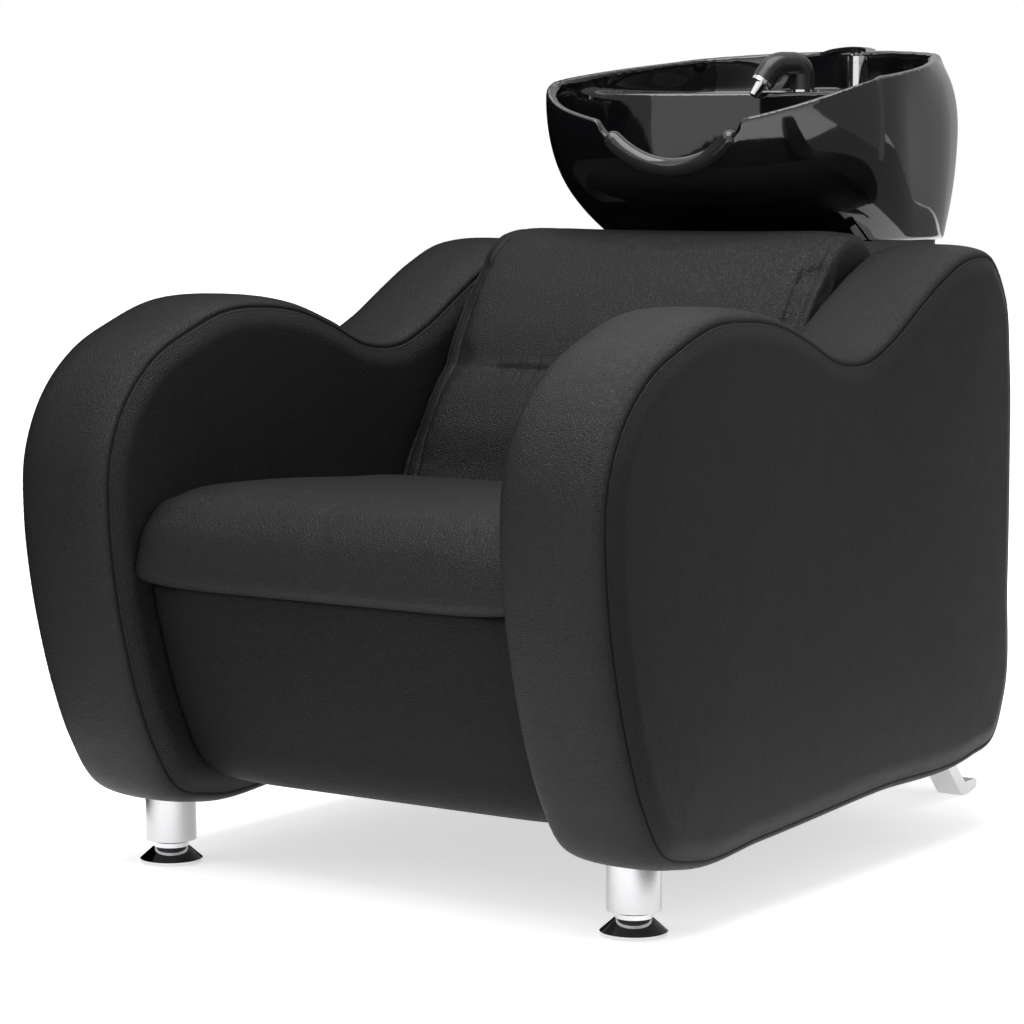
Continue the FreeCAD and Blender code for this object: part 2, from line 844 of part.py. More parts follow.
def rear_panel():
    """The upholstered board that closes the back between the arms."""
    x = "arm_inner_x - pad_crown - clearance"
    node(box("rear_panel_blank", "2 * (%s)" % x, "rear_panel_thickness",
             "rear_panel_top - rear_panel_base",
             "0 - (%s)" % x, from_front("rear_panel_setback"), "rear_panel_base"), "rear_panel")


# Steel base
def square_tube(name, length, width, height, wall, x, y, z, axis):
    """A hollow rectangular tube that lies along X, Y or Z."""
    sizes = {"x": length, "y": width, "z": height}
    places = {"x": x, "y": y, "z": z}
    bore_sizes = {a: t if a == axis else "%s - 2 * %s" % (t, wall) for a, t in sizes.items()}
    bore_sizes[axis] = "%s + 2 * overrun" % sizes[axis]
    bore_places = {a: "%s + %s" % (t, wall) for a, t in places.items()}
    bore_places[axis] = "%s - overrun" % places[axis]
    outer = box(name + "_outer", *sizes.values(), *places.values())
    bore = box(name + "_bore", *bore_sizes.values(), *bore_places.values())
    return cut(name + "_tube", outer, bore)


def base_frame():
    outer_x = "arm_inner_x - pad_crown - rail_arm_gap"
    for side, sign in SIDES.items():
        x = "%s - rail_width" % outer_x if sign > 0 else "0 - (%s)" % outer_x
        rail = square_tube("rail_" + side, "rail_width", "rail_length", "rail_height", "rail_wall",
                           x, from_front("rail_setback"), "rail_base", "y")
        bolts = []
        for i in range(2):
            y = from_front("rear_foot_setback + foot_bolt_first + %d * foot_bolt_pitch" % i)
            bolts.append(cylinder("rail_hole_%s_%d" % (side, i), "foot_bolt_radius + clearance",
                                  "2 * rail_height",
                                  "%d * rear_foot_x" % sign, y, "rail_base - rail_height / 2"))
        node(cut("rail_drilled_" + side, rail, *bolts), "base_rail_" + side)
    inner = "(%s - rail_width)" % outer_x
    crosses = (("front", from_front("cross_front_setback")),
               ("rear", from_front("tilt_setback - cross_depth / 2")))
    for name, y in crosses:
        tube_ = square_tube("cross_" + name, "2 * " + inner, "cross_depth", "rail_height", "rail_wall",
                            "0 - " + inner, y, "rail_base", "x")
        node(tube_, "base_cross_" + name)


# Front legs
def legs():
    corners = [(a, b) for a in (-1, 1) for b in (-1, 1)]
    screws = []
    for side, sign in SIDES.items():
        x, y = "%d * leg_x" % sign, from_front("leg_setback")
        tube_height = "leg_block_base - leg_plate_thickness - leg_base"
        outer = cylinder("leg_outer_" + side, "leg_radius", tube_height, x, y, "leg_base")
        bore = cylinder("leg_bore_" + side, "leg_radius - leg_wall", tube_height + " + overrun", x, y,
                        "leg_base - overrun")
        shell = cut("leg_shell_" + side, outer, bore)
        plate = box("leg_plate_" + side, "leg_plate_side", "leg_plate_side", "leg_plate_thickness",
                    x + " - leg_plate_side / 2", y + " - leg_plate_side / 2",
                    "leg_block_base - leg_plate_thickness")
        holes = []
        for i, (a, b) in enumerate(corners):
            place_x = "%s + %d * leg_screw_offset" % (x, a)
            place_y = "%s + %d * leg_screw_offset" % (y, b)
            holes.append(cylinder("leg_hole_%s_%d" % (side, i), "leg_screw_radius + clearance",
                                  "leg_plate_thickness + 2 * overrun", place_x, place_y,
                                  "leg_block_base - leg_plate_thickness - overrun"))
            shank = cylinder("leg_screw_%s_%d" % (side, i), "leg_screw_radius",
                             "leg_plate_thickness + leg_screw_length", place_x, place_y,
                             "leg_block_base - leg_plate_thickness")
            head = cylinder("leg_screw_head_%s_%d" % (side, i), "leg_screw_head_radius", "leg_screw_head",
                            place_x, place_y, "leg_block_base - leg_plate_thickness - leg_screw_head")
            screws.append(fuse("leg_screw_whole_%s_%d" % (side, i), shank, head))
        drilled = cut("leg_plate_drilled_" + side, plate, *holes)
        node(fuse("leg_welded_" + side, shell, drilled), "leg_tube_" + side)

        insert = turned("leg_insert_body_" + side, [
            ("stud_radius + stud_gap", "0"), ("leg_radius - leg_wall - clearance / 3", "0"),
            ("leg_radius - leg_wall - clearance / 3", "insert_height"), ("0", "insert_height"),
            ("0", "insert_height - insert_roof"), ("stud_radius + stud_gap",
                                                   "insert_height - insert_roof")])
        node(place(insert, x, y, "leg_base"), "leg_insert_" + side)

        foot = turned("leg_foot_body_" + side, [
            ("0", "0"), ("disc_radius", "0"), ("disc_radius", "disc_rim"),
            ("disc_neck_radius", "disc_cone_height"),
            ("disc_neck_radius", "disc_collar_height"), ("stud_radius", "disc_collar_height"),
            ("stud_radius", "leg_base + insert_height - insert_roof - stud_gap"),
            ("0", "leg_base + insert_height - insert_roof - stud_gap")])
        node(place(foot, x, y, "0"), "leg_foot_" + side)
    node(group("leg_screw_set", screws), "leg_screws")


# Rear feet
def rounded(body, base, radius, places):
    """Rounds the edges that run along X at the given (y, z) places of the sketch."""
    names = []
    for number, edge in enumerate(base.Shape.Edges, start=1):
        first, last = edge.firstVertex().Point, edge.lastVertex().Point
        along_x = abs(first.y - last.y) + abs(first.z - last.z) < abs(first.x - last.x) / 1000
        if along_x and any(math.hypot(first.y - y, first.z - z) < radius / 10 for y, z in places):
            names.append("Edge%d" % number)
    fillet = body.newObject("PartDesign::Fillet", body.Name + "_round")
    fillet.Base = (base, names)
    fillet.setExpression("Radius", cells("rear_foot_round"))
    body.Tip = fillet
    doc.recompute()
    return body


def rear_feet():
    """Flat bars that slope down from the rails to a flat sole with a raised toe."""
    heel = "rear_foot_tab + rear_foot_run"
    toe = heel + " + rear_foot_sole + rear_foot_toe_run"
    crest = "rear_foot_toe_rise + rear_foot_toe_thickness"
    corners = [
        ("0", "rail_base - rear_foot_thickness"), ("rear_foot_tab", "rail_base - rear_foot_thickness"),
        (heel, "0"), (heel + " + rear_foot_sole", "0"), (toe, "rear_foot_toe_rise"), (toe, crest),
        (heel + " + rear_foot_crook_run", crest), ("rear_foot_tab + rear_foot_shoulder", "rail_base"),
        ("0", "rail_base")]
    bolts = []
    for side, sign in SIDES.items():
        body = padded("rear_foot_body_" + side, "YZ_Plane", corners, "rear_foot_width")
        soft = [(s.rear_foot_tab + s.rear_foot_run, 0),
                (value_of(toe), s.rear_foot_toe_rise), (value_of(toe), value_of(crest))]
        rounded(body, body.Tip, s.rear_foot_round, soft)
        place(body, "%d * rear_foot_x - rear_foot_width / 2" % sign, from_front("rear_foot_setback"), "0")
        holes = []
        for i in range(2):
            x = "%d * rear_foot_x" % sign
            y = from_front("rear_foot_setback + foot_bolt_first + %d * foot_bolt_pitch" % i)
            holes.append(cylinder("foot_hole_%s_%d" % (side, i), "foot_bolt_radius + clearance",
                                  "rear_foot_thickness + 2 * overrun", x, y,
                                  "rail_base - rear_foot_thickness - overrun"))
            shank = cylinder("foot_bolt_%s_%d" % (side, i), "foot_bolt_radius",
                             "rear_foot_thickness + rail_height / 2",
                             x, y, "rail_base - rear_foot_thickness")
            head = cylinder("foot_bolt_head_%s_%d" % (side, i), "foot_bolt_head_radius", "foot_bolt_head",
                            x, y, "rail_base - rear_foot_thickness - foot_bolt_head")
            bolts.append(fuse("foot_bolt_whole_%s_%d" % (side, i), shank, head))
        node(cut("rear_foot_drilled_" + side, body, *holes), "rear_foot_" + side)
    node(group("rear_foot_bolt_set", bolts), "rear_foot_bolts")


# Column
def d_outline(half_width, front_y, depth, radius, grow, height):
    """A section with a straight front and rounded rear corners."""
    rear = front_y + depth
    nodes = [
        (-half_width, front_y, -90, 0), (half_width, front_y, 0, 90), (half_width, rear - radius, 90),
        (half_width - radius, rear, 180), (-half_width + radius, rear, 180),
        (-half_width, rear - radius, 270)]
    return outline(nodes, grow, lambda x, y: V(x, y, height))


def column_cowl():
    """The tapered casing behind the backrest, open below and above, with a service window."""
    sections = ((s.cowl_foot_half_width, s.cowl_base), (s.cowl_top_half_width, s.cowl_top))
    y = front(s.cowl_front_setback)
    outer = loft([d_outline(w, y, s.cowl_depth, s.cowl_round, 0, z) for w, z in sections], True)
    over = [(sections[0][0], s.cowl_base - s.overrun), (sections[1][0], s.cowl_top + s.overrun)]
    inner = loft([d_outline(w, y, s.cowl_depth, s.cowl_round, -s.cowl_wall, z) for w, z in over], True)
    window_width = s.cover_width - 2 * s.cover_lap
    window = Part.makeBox(window_width, s.cowl_wall * 4, s.cover_height - 2 * s.cover_lap,
                          V(-window_width / 2, y + s.cowl_depth - 2 * s.cowl_wall,
                            s.cover_base + s.cover_lap))
    shape = outer.cut(inner).cut(window)
    for x, z in cover_screw_places():
        shape = shape.cut(Part.makeCylinder(s.cover_screw_radius + s.pin_gap, s.cowl_wall * 4,
                                            V(x, y + s.cowl_depth - 2 * s.cowl_wall, z), V(0, 1, 0)))
    return shape


def cover_screw_places():
    x = s.cover_width / 2 - s.cover_lap / 2
    low, high = s.cover_base + s.cover_lap / 2, s.cover_base + s.cover_height - s.cover_lap / 2
    return [(a * x, z) for a in SIDES.values() for z in (low, high)]


def cowl_cover():
    """The screwed plate over the service window, and its screws."""
    y = from_front("cowl_front_setback + cowl_depth")
    plate = box("cover_blank", "cover_width", "cover_thickness", "cover_height",
                "0 - cover_width / 2", y, "cover_base")
    holes, screws = [], []
    heights = ("cover_base + cover_lap / 2", "cover_base + cover_height - cover_lap / 2")
    for i, (sign, z) in enumerate([(sign, z) for sign in SIDES.values() for z in heights]):
        x = "%d * (cover_width / 2 - cover_lap / 2)" % sign
        holes.append(cylinder("cover_hole_%d" % i, "cover_screw_radius + clearance",
                              "cover_thickness + 2 * overrun",
                              x, y + " - overrun", z, "y"))
        shank = cylinder("cover_screw_%d" % i, "cover_screw_radius", "cover_screw_length",
                         x, y + " + cover_thickness - cover_screw_length", z, "y")
        head = cylinder("cover_screw_head_%d" % i, "cover_screw_head_radius", "cover_screw_head",
                        x, y + " + cover_thickness", z, "y")
        screws.append(fuse("cover_screw_whole_%d" % i, shank, head))
    node(cut("cover_drilled", plate, *holes), "cowl_rear_cover")
    node(group("cover_screw_set", screws), "cowl_screws")


def column():
    node(shaped("cowl_shell", column_cowl()), "column_cowl")
    cowl_cover()
    post = square_tube("post", "post_side", "post_side", "post_top - rail_base - rail_height",
                       "post_wall",
                       "0 - post_side / 2", from_front("tilt_setback - post_side / 2"),
                       "rail_base + rail_height", "z")
    node(post, "column_post")
    half = "(cowl_foot_half_width - cowl_wall - 2 * clearance)"
    plate_z = "rail_base + rail_height + clearance"
    plate = box("service_blank", "2 * " + half,
                "cowl_depth - 2 * cowl_wall - 2 * clearance - 0.75 * cowl_round",
                "service_plate_thickness", "0 - " + half,
                from_front("cowl_front_setback + cowl_wall + clearance"), plate_z)
    tall = "service_plate_thickness + 2 * overrun"
    below = plate_z + " - overrun"
    holes = [box("service_post_hole", "post_side + 2 * clearance", "post_side + 2 * clearance", tall,
                 "0 - post_side / 2 - clearance", from_front("tilt_setback - post_side / 2 - clearance"),
                 below),
             cylinder("service_drain_hole", "drain_cuff_radius + clearance", tall, "0",
                      from_front("waste_setback"), below)]
    for side, sign in SIDES.items():
        holes.append(cylinder("service_valve_hole_" + side, "inlet_radius + clearance", tall,
                              "%d * valve_x" % sign, from_front("valve_setback"), below))
    node(cut("service_drilled", plate, *holes), "service_plate")


# Tilt hinge
def ear(name, half_span, way, width, z_from, bore):
    """A bracket ear whose round end holds the hinge axis; way says if it hangs below its plate."""
    pieces = []
    for side, sign in SIDES.items():
        x = "%s - ear_thickness" % half_span if sign > 0 else "0 - %s" % half_span
        y = from_front("tilt_setback - %s / 2" % width)
        low, high = ("tilt_height", z_from) if way < 0 else (z_from, "tilt_height")
        plate = box("%s_%s" % (name, side), "ear_thickness", width, "%s - (%s)" % (high, low), x, y, low)
        round_end = cylinder("%s_end_%s" % (name, side), width + " / 2", "ear_thickness", x,
                             from_front("tilt_setback"), "tilt_height", "x")
        hole = cylinder("%s_bore_%s" % (name, side), bore, "ear_thickness + 2 * overrun",
                        x + " - overrun",
                        from_front("tilt_setback"), "tilt_height", "x")
        pieces.append(cut("%s_drilled_%s" % (name, side), fuse("%s_whole_%s" % (name, side), plate,
                                                               round_end), hole))
    return pieces


def tilt_hinge():
    y = from_front("tilt_setback")
    half = "(ear_half_span + bracket_plate_thickness)"
    plate = box("bracket_plate", "2 * " + half, "post_side", "bracket_plate_thickness",
                "0 - " + half, from_front("tilt_setback - post_side / 2"), "post_top")
    ears = ear("bracket_ear", "ear_half_span", 1, "ear_depth", "post_top + bracket_plate_thickness",
               "bush_radius + pin_gap")
    node(fuse("bracket_welded", plate, *ears), "tilt_bracket")

    bushes = []
    for side, sign in SIDES.items():
        sleeve_x = "ear_half_span - ear_thickness" if sign > 0 else "0 - ear_half_span"
        flange_x = "0 - ear_half_span + ear_thickness"
        if sign > 0:
            flange_x = "ear_half_span - ear_thickness - bush_flange"
        sleeve = cylinder("bush_sleeve_" + side, "bush_radius", "ear_thickness", sleeve_x, y,
                          "tilt_height", "x")
        flange = cylinder("bush_flange_" + side, "bush_flange_radius", "bush_flange", flange_x, y,
                          "tilt_height", "x")
        bore = cylinder("bush_bore_" + side, "pin_radius + pin_gap", "2 * ear_half_span",
                        "%s - ear_half_span / 2" % sleeve_x,
                        y, "tilt_height", "x")
        bushes.append(cut("bush_" + side, fuse("bush_blank_" + side, sleeve, flange), bore))
    node(group("bush_pair", bushes), "tilt_bushes")

    pin_half = "(ear_half_span + clearance + pin_head)"
    shank = cylinder("pin_shank", "pin_radius", "2 * ear_half_span + 2 * clearance + pin_head",
                     "0 - " + pin_half, y, "tilt_height", "x")
    head = cylinder("pin_head_disc", "pin_head_radius", "pin_head", "0 - " + pin_half, y, "tilt_height",
                    "x")
    nut = cylinder("pin_nut", "pin_head_radius", "pin_head", "ear_half_span + clearance", y,
                   "tilt_height", "x")
    node(fuse("pin_whole", shank, head, nut), "tilt_pin")

    plate_z = "basin_base - cradle_plate_thickness"
    cradle_plate = box("cradle_blank", "2 * cradle_half_width", "cradle_length", "cradle_plate_thickness",
                       "0 - cradle_half_width", from_front("cradle_setback"), plate_z)
    holes = [cylinder("cradle_waste_hole", "waste_nut_radius + overrun / 2", "4 * cradle_plate_thickness",
                      "0",
                      from_front("waste_setback"), plate_z + " - cradle_plate_thickness")]
    bolts = []
    for i, (sign, setback) in enumerate([(a, b) for a in SIDES.values()
                                         for b in ("basin_bolt_front_setback",
                                                   "basin_bolt_rear_setback")]):
        x, bolt_y = "%d * basin_bolt_x" % sign, from_front(setback)
        holes.append(cylinder("cradle_hole_%d" % i, "basin_bolt_radius + basin_bolt_gap",
                              "4 * cradle_plate_thickness",
                              x, bolt_y, plate_z + " - cradle_plate_thickness"))
        bolt = cylinder("basin_bolt_%d" % i, "basin_bolt_radius",
                        "cradle_plate_thickness + basin_bolt_depth",
                        x, bolt_y, plate_z)
        bolt_head = cylinder("basin_bolt_head_%d" % i, "basin_bolt_head_radius", "basin_bolt_head",
                             x, bolt_y, plate_z + " - basin_bolt_head")
        bolts.append(fuse("basin_bolt_whole_%d" % i, bolt, bolt_head))
    cradle_ears = ear("cradle_ear", "cradle_ear_half_span", -1, "ear_depth", plate_z,
                      "pin_radius + pin_gap")
    node(fuse("cradle_welded", cut("cradle_drilled", cradle_plate, *holes), *cradle_ears), "basin_cradle")
    node(group("basin_bolt_set", bolts), "basin_bolts")


# Basin: at each level below the rim, its outline from the middle of its front round one side to the
# middle of its rear, as shares of the half width and half length, and the level as a share of the depth
BASIN_LEVEL_SHARES = [
    (0.0, [(0, -1.063), (0.435, -1.009), (0.756, -0.847), (0.967, -0.505), (1, -0.113), (0.919, 0.248),
           (0.805, 0.518), (0.744, 0.676), (0.508, 0.878), (0, 1)]),
    (0.255, [(0, -1.03), (0.43, -0.98), (0.762, -0.83), (0.98, -0.51), (1, -0.09), (0.955, 0.316),
             (0.84, 0.636), (0.71, 0.79), (0.46, 0.915), (0, 0.965)]),
    (0.511, [(0, -0.93), (0.42, -0.88), (0.74, -0.74), (0.955, -0.46), (0.98, -0.06), (0.945, 0.32),
             (0.84, 0.61), (0.69, 0.76), (0.42, 0.86), (0, 0.905)]),
    (0.702, [(0, -0.70), (0.40, -0.665), (0.70, -0.56), (0.915, -0.35), (0.955, 0), (0.92, 0.33),
             (0.825, 0.57), (0.68, 0.70), (0.40, 0.78), (0, 0.81)]),
    (1.0, [(0, -0.34), (0.36, -0.30), (0.61, -0.21), (0.80, -0.04), (0.86, 0.18), (0.835, 0.39),
           (0.745, 0.53), (0.585, 0.615), (0.35, 0.655), (0, 0.675)]),
]
# The bowl inside: how far each level stands in from the outside, as shares of the wall
BOWL_INSET_SHARES = [1.0, 1.1, 1.5, 2.6, 3.4]


def basin_place(x, along, depth):
    """A point given across the basin, along its leaning rim and below it."""
    lean = math.radians(s.basin_lean)
    y = front(s.basin_setback) + along * math.cos(lean) + depth * math.sin(lean)
    return V(x, y, s.basin_rim_height + along * math.sin(lean) - depth * math.cos(lean))


def basin_level(half_shares, depth, grow):
    half = [(x * s.basin_half_width, v * s.basin_half_length) for x, v in half_shares]
    nodes = half + [(-x, v) for x, v in reversed(half[1:-1])]
    return outline(nodes, grow, lambda x, v: basin_place(x, v, depth))


def basin_solid(insets, rise):
    """A solid through the basin's levels, each moved in; rise lifts its top above the rim."""
    wires = [basin_level(BASIN_LEVEL_SHARES[0][1], -rise, -insets[0])] if rise else []
    for (depth_share, half), inset in zip(BASIN_LEVEL_SHARES, insets):
        wires.append(basin_level(half, depth_share * s.basin_depth, -inset))
    return loft(wires)


def tall_box(y_from, z_from, z_to):
    """A box as wide as the basin and more, from a Y to past its rear, between two heights."""
    half = s.basin_half_width + s.overrun
    return Part.makeBox(2 * half, 4 * half, z_to - z_from, V(-half, y_from, z_from))


# The ledge that carries the tap and the hand shower keeps its place below the rim
LEDGE_TOP = "(basin_rim_height - ledge_drop)"


def ledge_level():
    return s.basin_rim_height - s.ledge_drop


def rear_of_bowl(z_to):
    """What the round bowl leaves behind it: the space under the ledge, up to a height."""
    low = s.basin_base - s.basin_depth
    middle = front(s.bowl_round_setback)
    rim = Part.Ellipse(V(0, middle, low), s.basin_half_width - s.basin_wall,
                       s.ledge_setback - s.bowl_round_setback)
    return tall_box(middle, low, z_to).cut(prism(Part.Wire(rim.toShape()), V(0, 0, z_to - low)))


def front_cut(radius, rise):
    """A round bar along the leaning rim, in from the front, to cut the rim with."""
    ahead = basin_place(0, -2 * s.basin_half_length, -rise)
    toward = basin_place(0, -s.basin_half_length / 2, -rise)
    return Part.makeCylinder(radius, (toward - ahead).Length, ahead, toward - ahead)


def neck_arc(radius, along):
    """The round edge of the neck cut, between the ends of the neck rest."""
    spread = math.radians(s.neck_rest_half_angle)
    points = []
    for angle in (-spread, 0, spread):
        points.append(basin_place(radius * math.sin(angle), along,
                                  radius * math.cos(angle) - s.neck_cut_rise))
    return Part.Arc(*points).toShape()


def basin():
    """A deep bowl with a neck cut in its front rim and a ledge for the tap at the rear."""
    wall = s.basin_wall
    low = front(s.basin_setback) - 2 * s.basin_half_length
    shape = basin_solid([0] * len(BASIN_LEVEL_SHARES), 0)
    shape = shape.cut(tall_box(low, s.basin_base - s.basin_depth, s.basin_base))
    bowl = basin_solid([share * wall for share in BOWL_INSET_SHARES], s.overrun)
    bowl = bowl.cut(tall_box(low, s.basin_base - s.basin_depth, s.bowl_floor))
    bowl = bowl.cut(rear_of_bowl(ledge_level()))
    shape = shape.cut(bowl)
    under = basin_solid([wall] * len(BASIN_LEVEL_SHARES), 0)
    under = under.common(tall_box(front(s.ledge_setback) + s.ledge_thickness,
                                  s.basin_base - s.basin_depth,
                                  ledge_level() - s.ledge_thickness))
    shape = shape.cut(under)
    dip_rise = math.sqrt(s.neck_dip_radius ** 2 - s.neck_dip_half_width ** 2)
    shape = shape.cut(front_cut(s.neck_dip_radius, dip_rise))
    shape = shape.cut(front_cut(s.neck_cut_radius, s.neck_cut_rise))
    holes = [(0, s.waste_setback, s.waste_hole_radius, s.basin_base, s.bowl_floor),
             (s.mixer_x, s.mixer_setback, s.mixer_shank_radius + s.mixer_hole_gap, s.basin_base,
              ledge_level()),
             (s.shower_x, s.shower_setback, s.holder_radius + s.holder_gap, s.basin_base, ledge_level())]
    for sign in SIDES.values():
        for setback in (s.basin_bolt_front_setback, s.basin_bolt_rear_setback):
            holes.append((sign * s.basin_bolt_x, setback, s.basin_bolt_radius + s.basin_bolt_gap,
                          s.basin_base - s.overrun,
                          s.basin_base + s.basin_bolt_depth + s.clearance - s.overrun))
    for x, setback, radius, z_from, z_to in holes:
        shape = shape.cut(Part.makeCylinder(radius, z_to - z_from + s.overrun,
                                            V(x, front(setback), z_from)))
    return shape


def neck_rest(bowl):
    """The soft rest that clips over the bottom of the neck cut, with round ends."""
    along = -s.basin_half_length * s.neck_rest_setback_share
    arc = neck_arc(s.neck_cut_radius - s.clearance, along)
    start, end = arc.firstVertex().Point, arc.lastVertex().Point
    circle = Part.makeCircle(s.neck_rest_radius, start, arc.tangentAt(arc.FirstParameter))
    section = Part.Face(Part.Wire(circle))
    shape = Part.Wire(arc).makePipe(section)
    for point in (start, end):
        shape = shape.fuse(Part.makeSphere(s.neck_rest_radius, point))
    return shape.removeSplitter().cut(bowl)


def basin_skirt():
    """The collar under the basin that covers the top of the cowl as it tilts."""
    y = front(s.skirt_front_setback)
    z = s.basin_base - s.clearance - s.skirt_height
    outer = prism(Part.Wire(d_outline(s.skirt_half_width, y, s.skirt_depth, s.skirt_round, 0, z)),
                  V(0, 0, s.skirt_height))
    inner = prism(Part.Wire(d_outline(s.skirt_half_width, y, s.skirt_depth, s.skirt_round, -s.skirt_wall,
                                      z - s.overrun)), V(0, 0, s.skirt_height + 2 * s.overrun))
    return outer.cut(inner)


def basin_pieces():
    bowl = basin()
    node(shaped("basin_shell", bowl), "basin")
    node(shaped("neck_rest_pad", neck_rest(bowl)), "neck_rest")
    node(shaped("skirt_ring", basin_skirt()), "basin_skirt")


# Waste
def waste():
    x, y = "0", from_front("waste_setback")
    depth = "(waste_tail_end - bowl_floor)"
    flange = turned("waste_flange_body", [
        ("waste_bore_radius", depth), ("waste_tail_radius", depth), ("waste_tail_radius", "0"),
        ("waste_flange_radius", "0"), ("waste_flange_radius", "waste_flange_thickness"),
        ("waste_bore_radius", "waste_flange_thickness")])
    node(place(flange, x, y, "bowl_floor"), "waste_flange")

    rings = []
    for name, height, top in (("nut", "waste_nut_height", "basin_base - waste_gasket"),
                              ("gasket", "waste_gasket", "basin_base")):
        ring = cylinder("waste_%s_ring" % name, "waste_nut_radius", height, x, y,
                        "%s - %s" % (top, height))
        hole = cylinder("waste_%s_hole" % name, "waste_tail_radius + pin_gap",
                        "%s + 2 * overrun" % height, x, y,
                        "%s - %s - overrun" % (top, height))
        rings.append(cut("waste_%s_bored" % name, ring, hole))
    node(group("waste_rings", rings), "waste_nut")

    top = "strainer_thickness"
    inner = "(strainer_cup_radius - strainer_wall)"
    floor = "(strainer_wall - strainer_cup_depth)"
    cup = turned("strainer_body", [
        ("0", "0 - strainer_cup_depth"), ("strainer_cup_radius", "0 - strainer_cup_depth"),
        ("strainer_cup_radius", "0"), ("strainer_radius", "0"), ("strainer_radius", top), (inner, top),
        (inner, floor), ("strainer_knob_radius", floor), ("strainer_knob_radius", "strainer_knob_height"),
        ("0", "strainer_knob_height")])
    place(cup, x, y, "bowl_floor + waste_flange_thickness")
    holes = []
    for i in range(int(s.strainer_holes)):
        angle = "(%d * 360 / strainer_holes)" % i
        holes.append(cylinder("strainer_hole_%d" % i, "strainer_hole_radius", "strainer_cup_depth",
                              "strainer_hole_circle * cos(%s)" % angle,
                              y + " + strainer_hole_circle * sin(%s)" % angle,
                              "bowl_floor + waste_flange_thickness - 1.5 * strainer_cup_depth"))
    node(cut("strainer_drilled", cup, *holes), "hair_strainer")

    outlet_top = "drain_outlet_base + drain_outlet_length"
    hose_outer = cylinder("drain_hose_outer", "drain_radius", "waste_tail_end - (%s)" % outlet_top,
                          x, y, outlet_top)
    hose_bore = cylinder("drain_hose_bore", "drain_bore_radius", "waste_tail_end",
                         x, y, outlet_top + " - overrun")
    node(cut("drain_hose_tube", hose_outer, hose_bore), "drain_hose")
    flange_z = "rail_base + rail_height + clearance + service_plate_thickness"
    pipe = cylinder("outlet_pipe", "drain_radius", "drain_outlet_length", x, y, "drain_outlet_base")
    cuff = cylinder("outlet_cuff", "drain_cuff_radius", "drain_cuff_length", x, y, "drain_outlet_base")
    collar = cylinder("outlet_collar", "drain_flange_radius", "drain_flange", x, y, flange_z)
    bore = cylinder("outlet_bore", "drain_bore_radius", "drain_outlet_length + 2 * overrun", x, y,
                    "drain_outlet_base - overrun")
    node(cut("outlet_bored", fuse("outlet_whole", pipe, cuff, collar), bore), "drain_outlet")


# Water supply
def valves():
    seat = "(rail_base + rail_height + clearance + service_plate_thickness - inlet_base)"
    top = "(%s + valve_height)" % seat
    for name, sign in (("hot", 1), ("cold", -1)):
        body = turned(name + "_valve_body", [
            ("inlet_bore_radius", "0"), ("inlet_radius", "0"), ("inlet_radius", "inlet_length"),
            ("inlet_neck_radius", "inlet_length"), ("inlet_neck_radius", seat), ("valve_radius", seat),
            ("valve_radius", top), ("valve_neck_radius", top),
            ("valve_neck_radius", top + " + valve_neck"),
            ("0", top + " + valve_neck"), ("0", top + " - valve_height / 2"),
            ("inlet_bore_radius", top + " - valve_height / 2")])
        place(body, "%d * valve_x" % sign, from_front("valve_setback"), "inlet_base")
        node(body, name + "_valve")


def tail_place(angle):
    """Where a hose enters the foot of the mixer."""
    x, y = unit(math.radians(angle))
    return s.mixer_x + x * s.hose_tail_circle, front(s.mixer_setback) + y * s.hose_tail_circle


# Heights along a supply hose, as shares of its rise: where it leaves the valve, passes behind the
# hinge, stands clear of it, leaves that plane and comes under the tap's foot
HOSE_START, HOSE_BEHIND, HOSE_CLEAR, HOSE_LEAVE, HOSE_END = 0.12, 0.34, 0.56, 0.76, 0.90
# The cold hose crosses to the tap's side: its first place across, and the heights of the crossing
CROSS_PLACE, CROSS_START, CROSS_MIDDLE = 0.7, 0.72, 0.82


def hoses():
    """Flexible hoses from the valves up behind the hinge to the foot of the mixer."""
    seat = s.rail_base + s.rail_height + s.clearance + s.service_plate_thickness
    valve_top = seat + s.valve_height + s.valve_neck
    foot = ledge_level() - s.mixer_shank
    rear = front(s.hose_plane_setback)

    def at(x, y, share):
        return V(x, y, valve_top + share * (foot - valve_top))

    valve_y = front(s.valve_setback)
    hot_x, hot_y = tail_place(-30)
    hot = [at(s.valve_x, valve_y, 0), at(s.valve_x, valve_y, HOSE_START),
           at(s.hose_plane_x, front(s.tilt_setback) - s.ear_depth, HOSE_BEHIND),
           at(s.hose_plane_x, rear, HOSE_CLEAR), at(s.hose_plane_x, rear, HOSE_LEAVE),
           at(hot_x, hot_y, HOSE_END), at(hot_x, hot_y, 1)]
    cold_x, cold_y = tail_place(210)
    cold = [V(-p.x, p.y, p.z) for p in hot[:4]]
    cold += [at(-s.hose_plane_x * CROSS_PLACE, rear, CROSS_START), at(0, rear, CROSS_MIDDLE),
             at(cold_x, cold_y, HOSE_END), at(cold_x, cold_y, 1)]
    node(shaped("hot_hose_tube", tube(hot, s.hose_radius)), "hot_hose")
    node(shaped("cold_hose_tube", tube(cold, s.hose_radius)), "cold_hose")


# How far down the shower hose's loop its two sides stay straight, as a share of the drop
LOOP_KNEE = 0.62


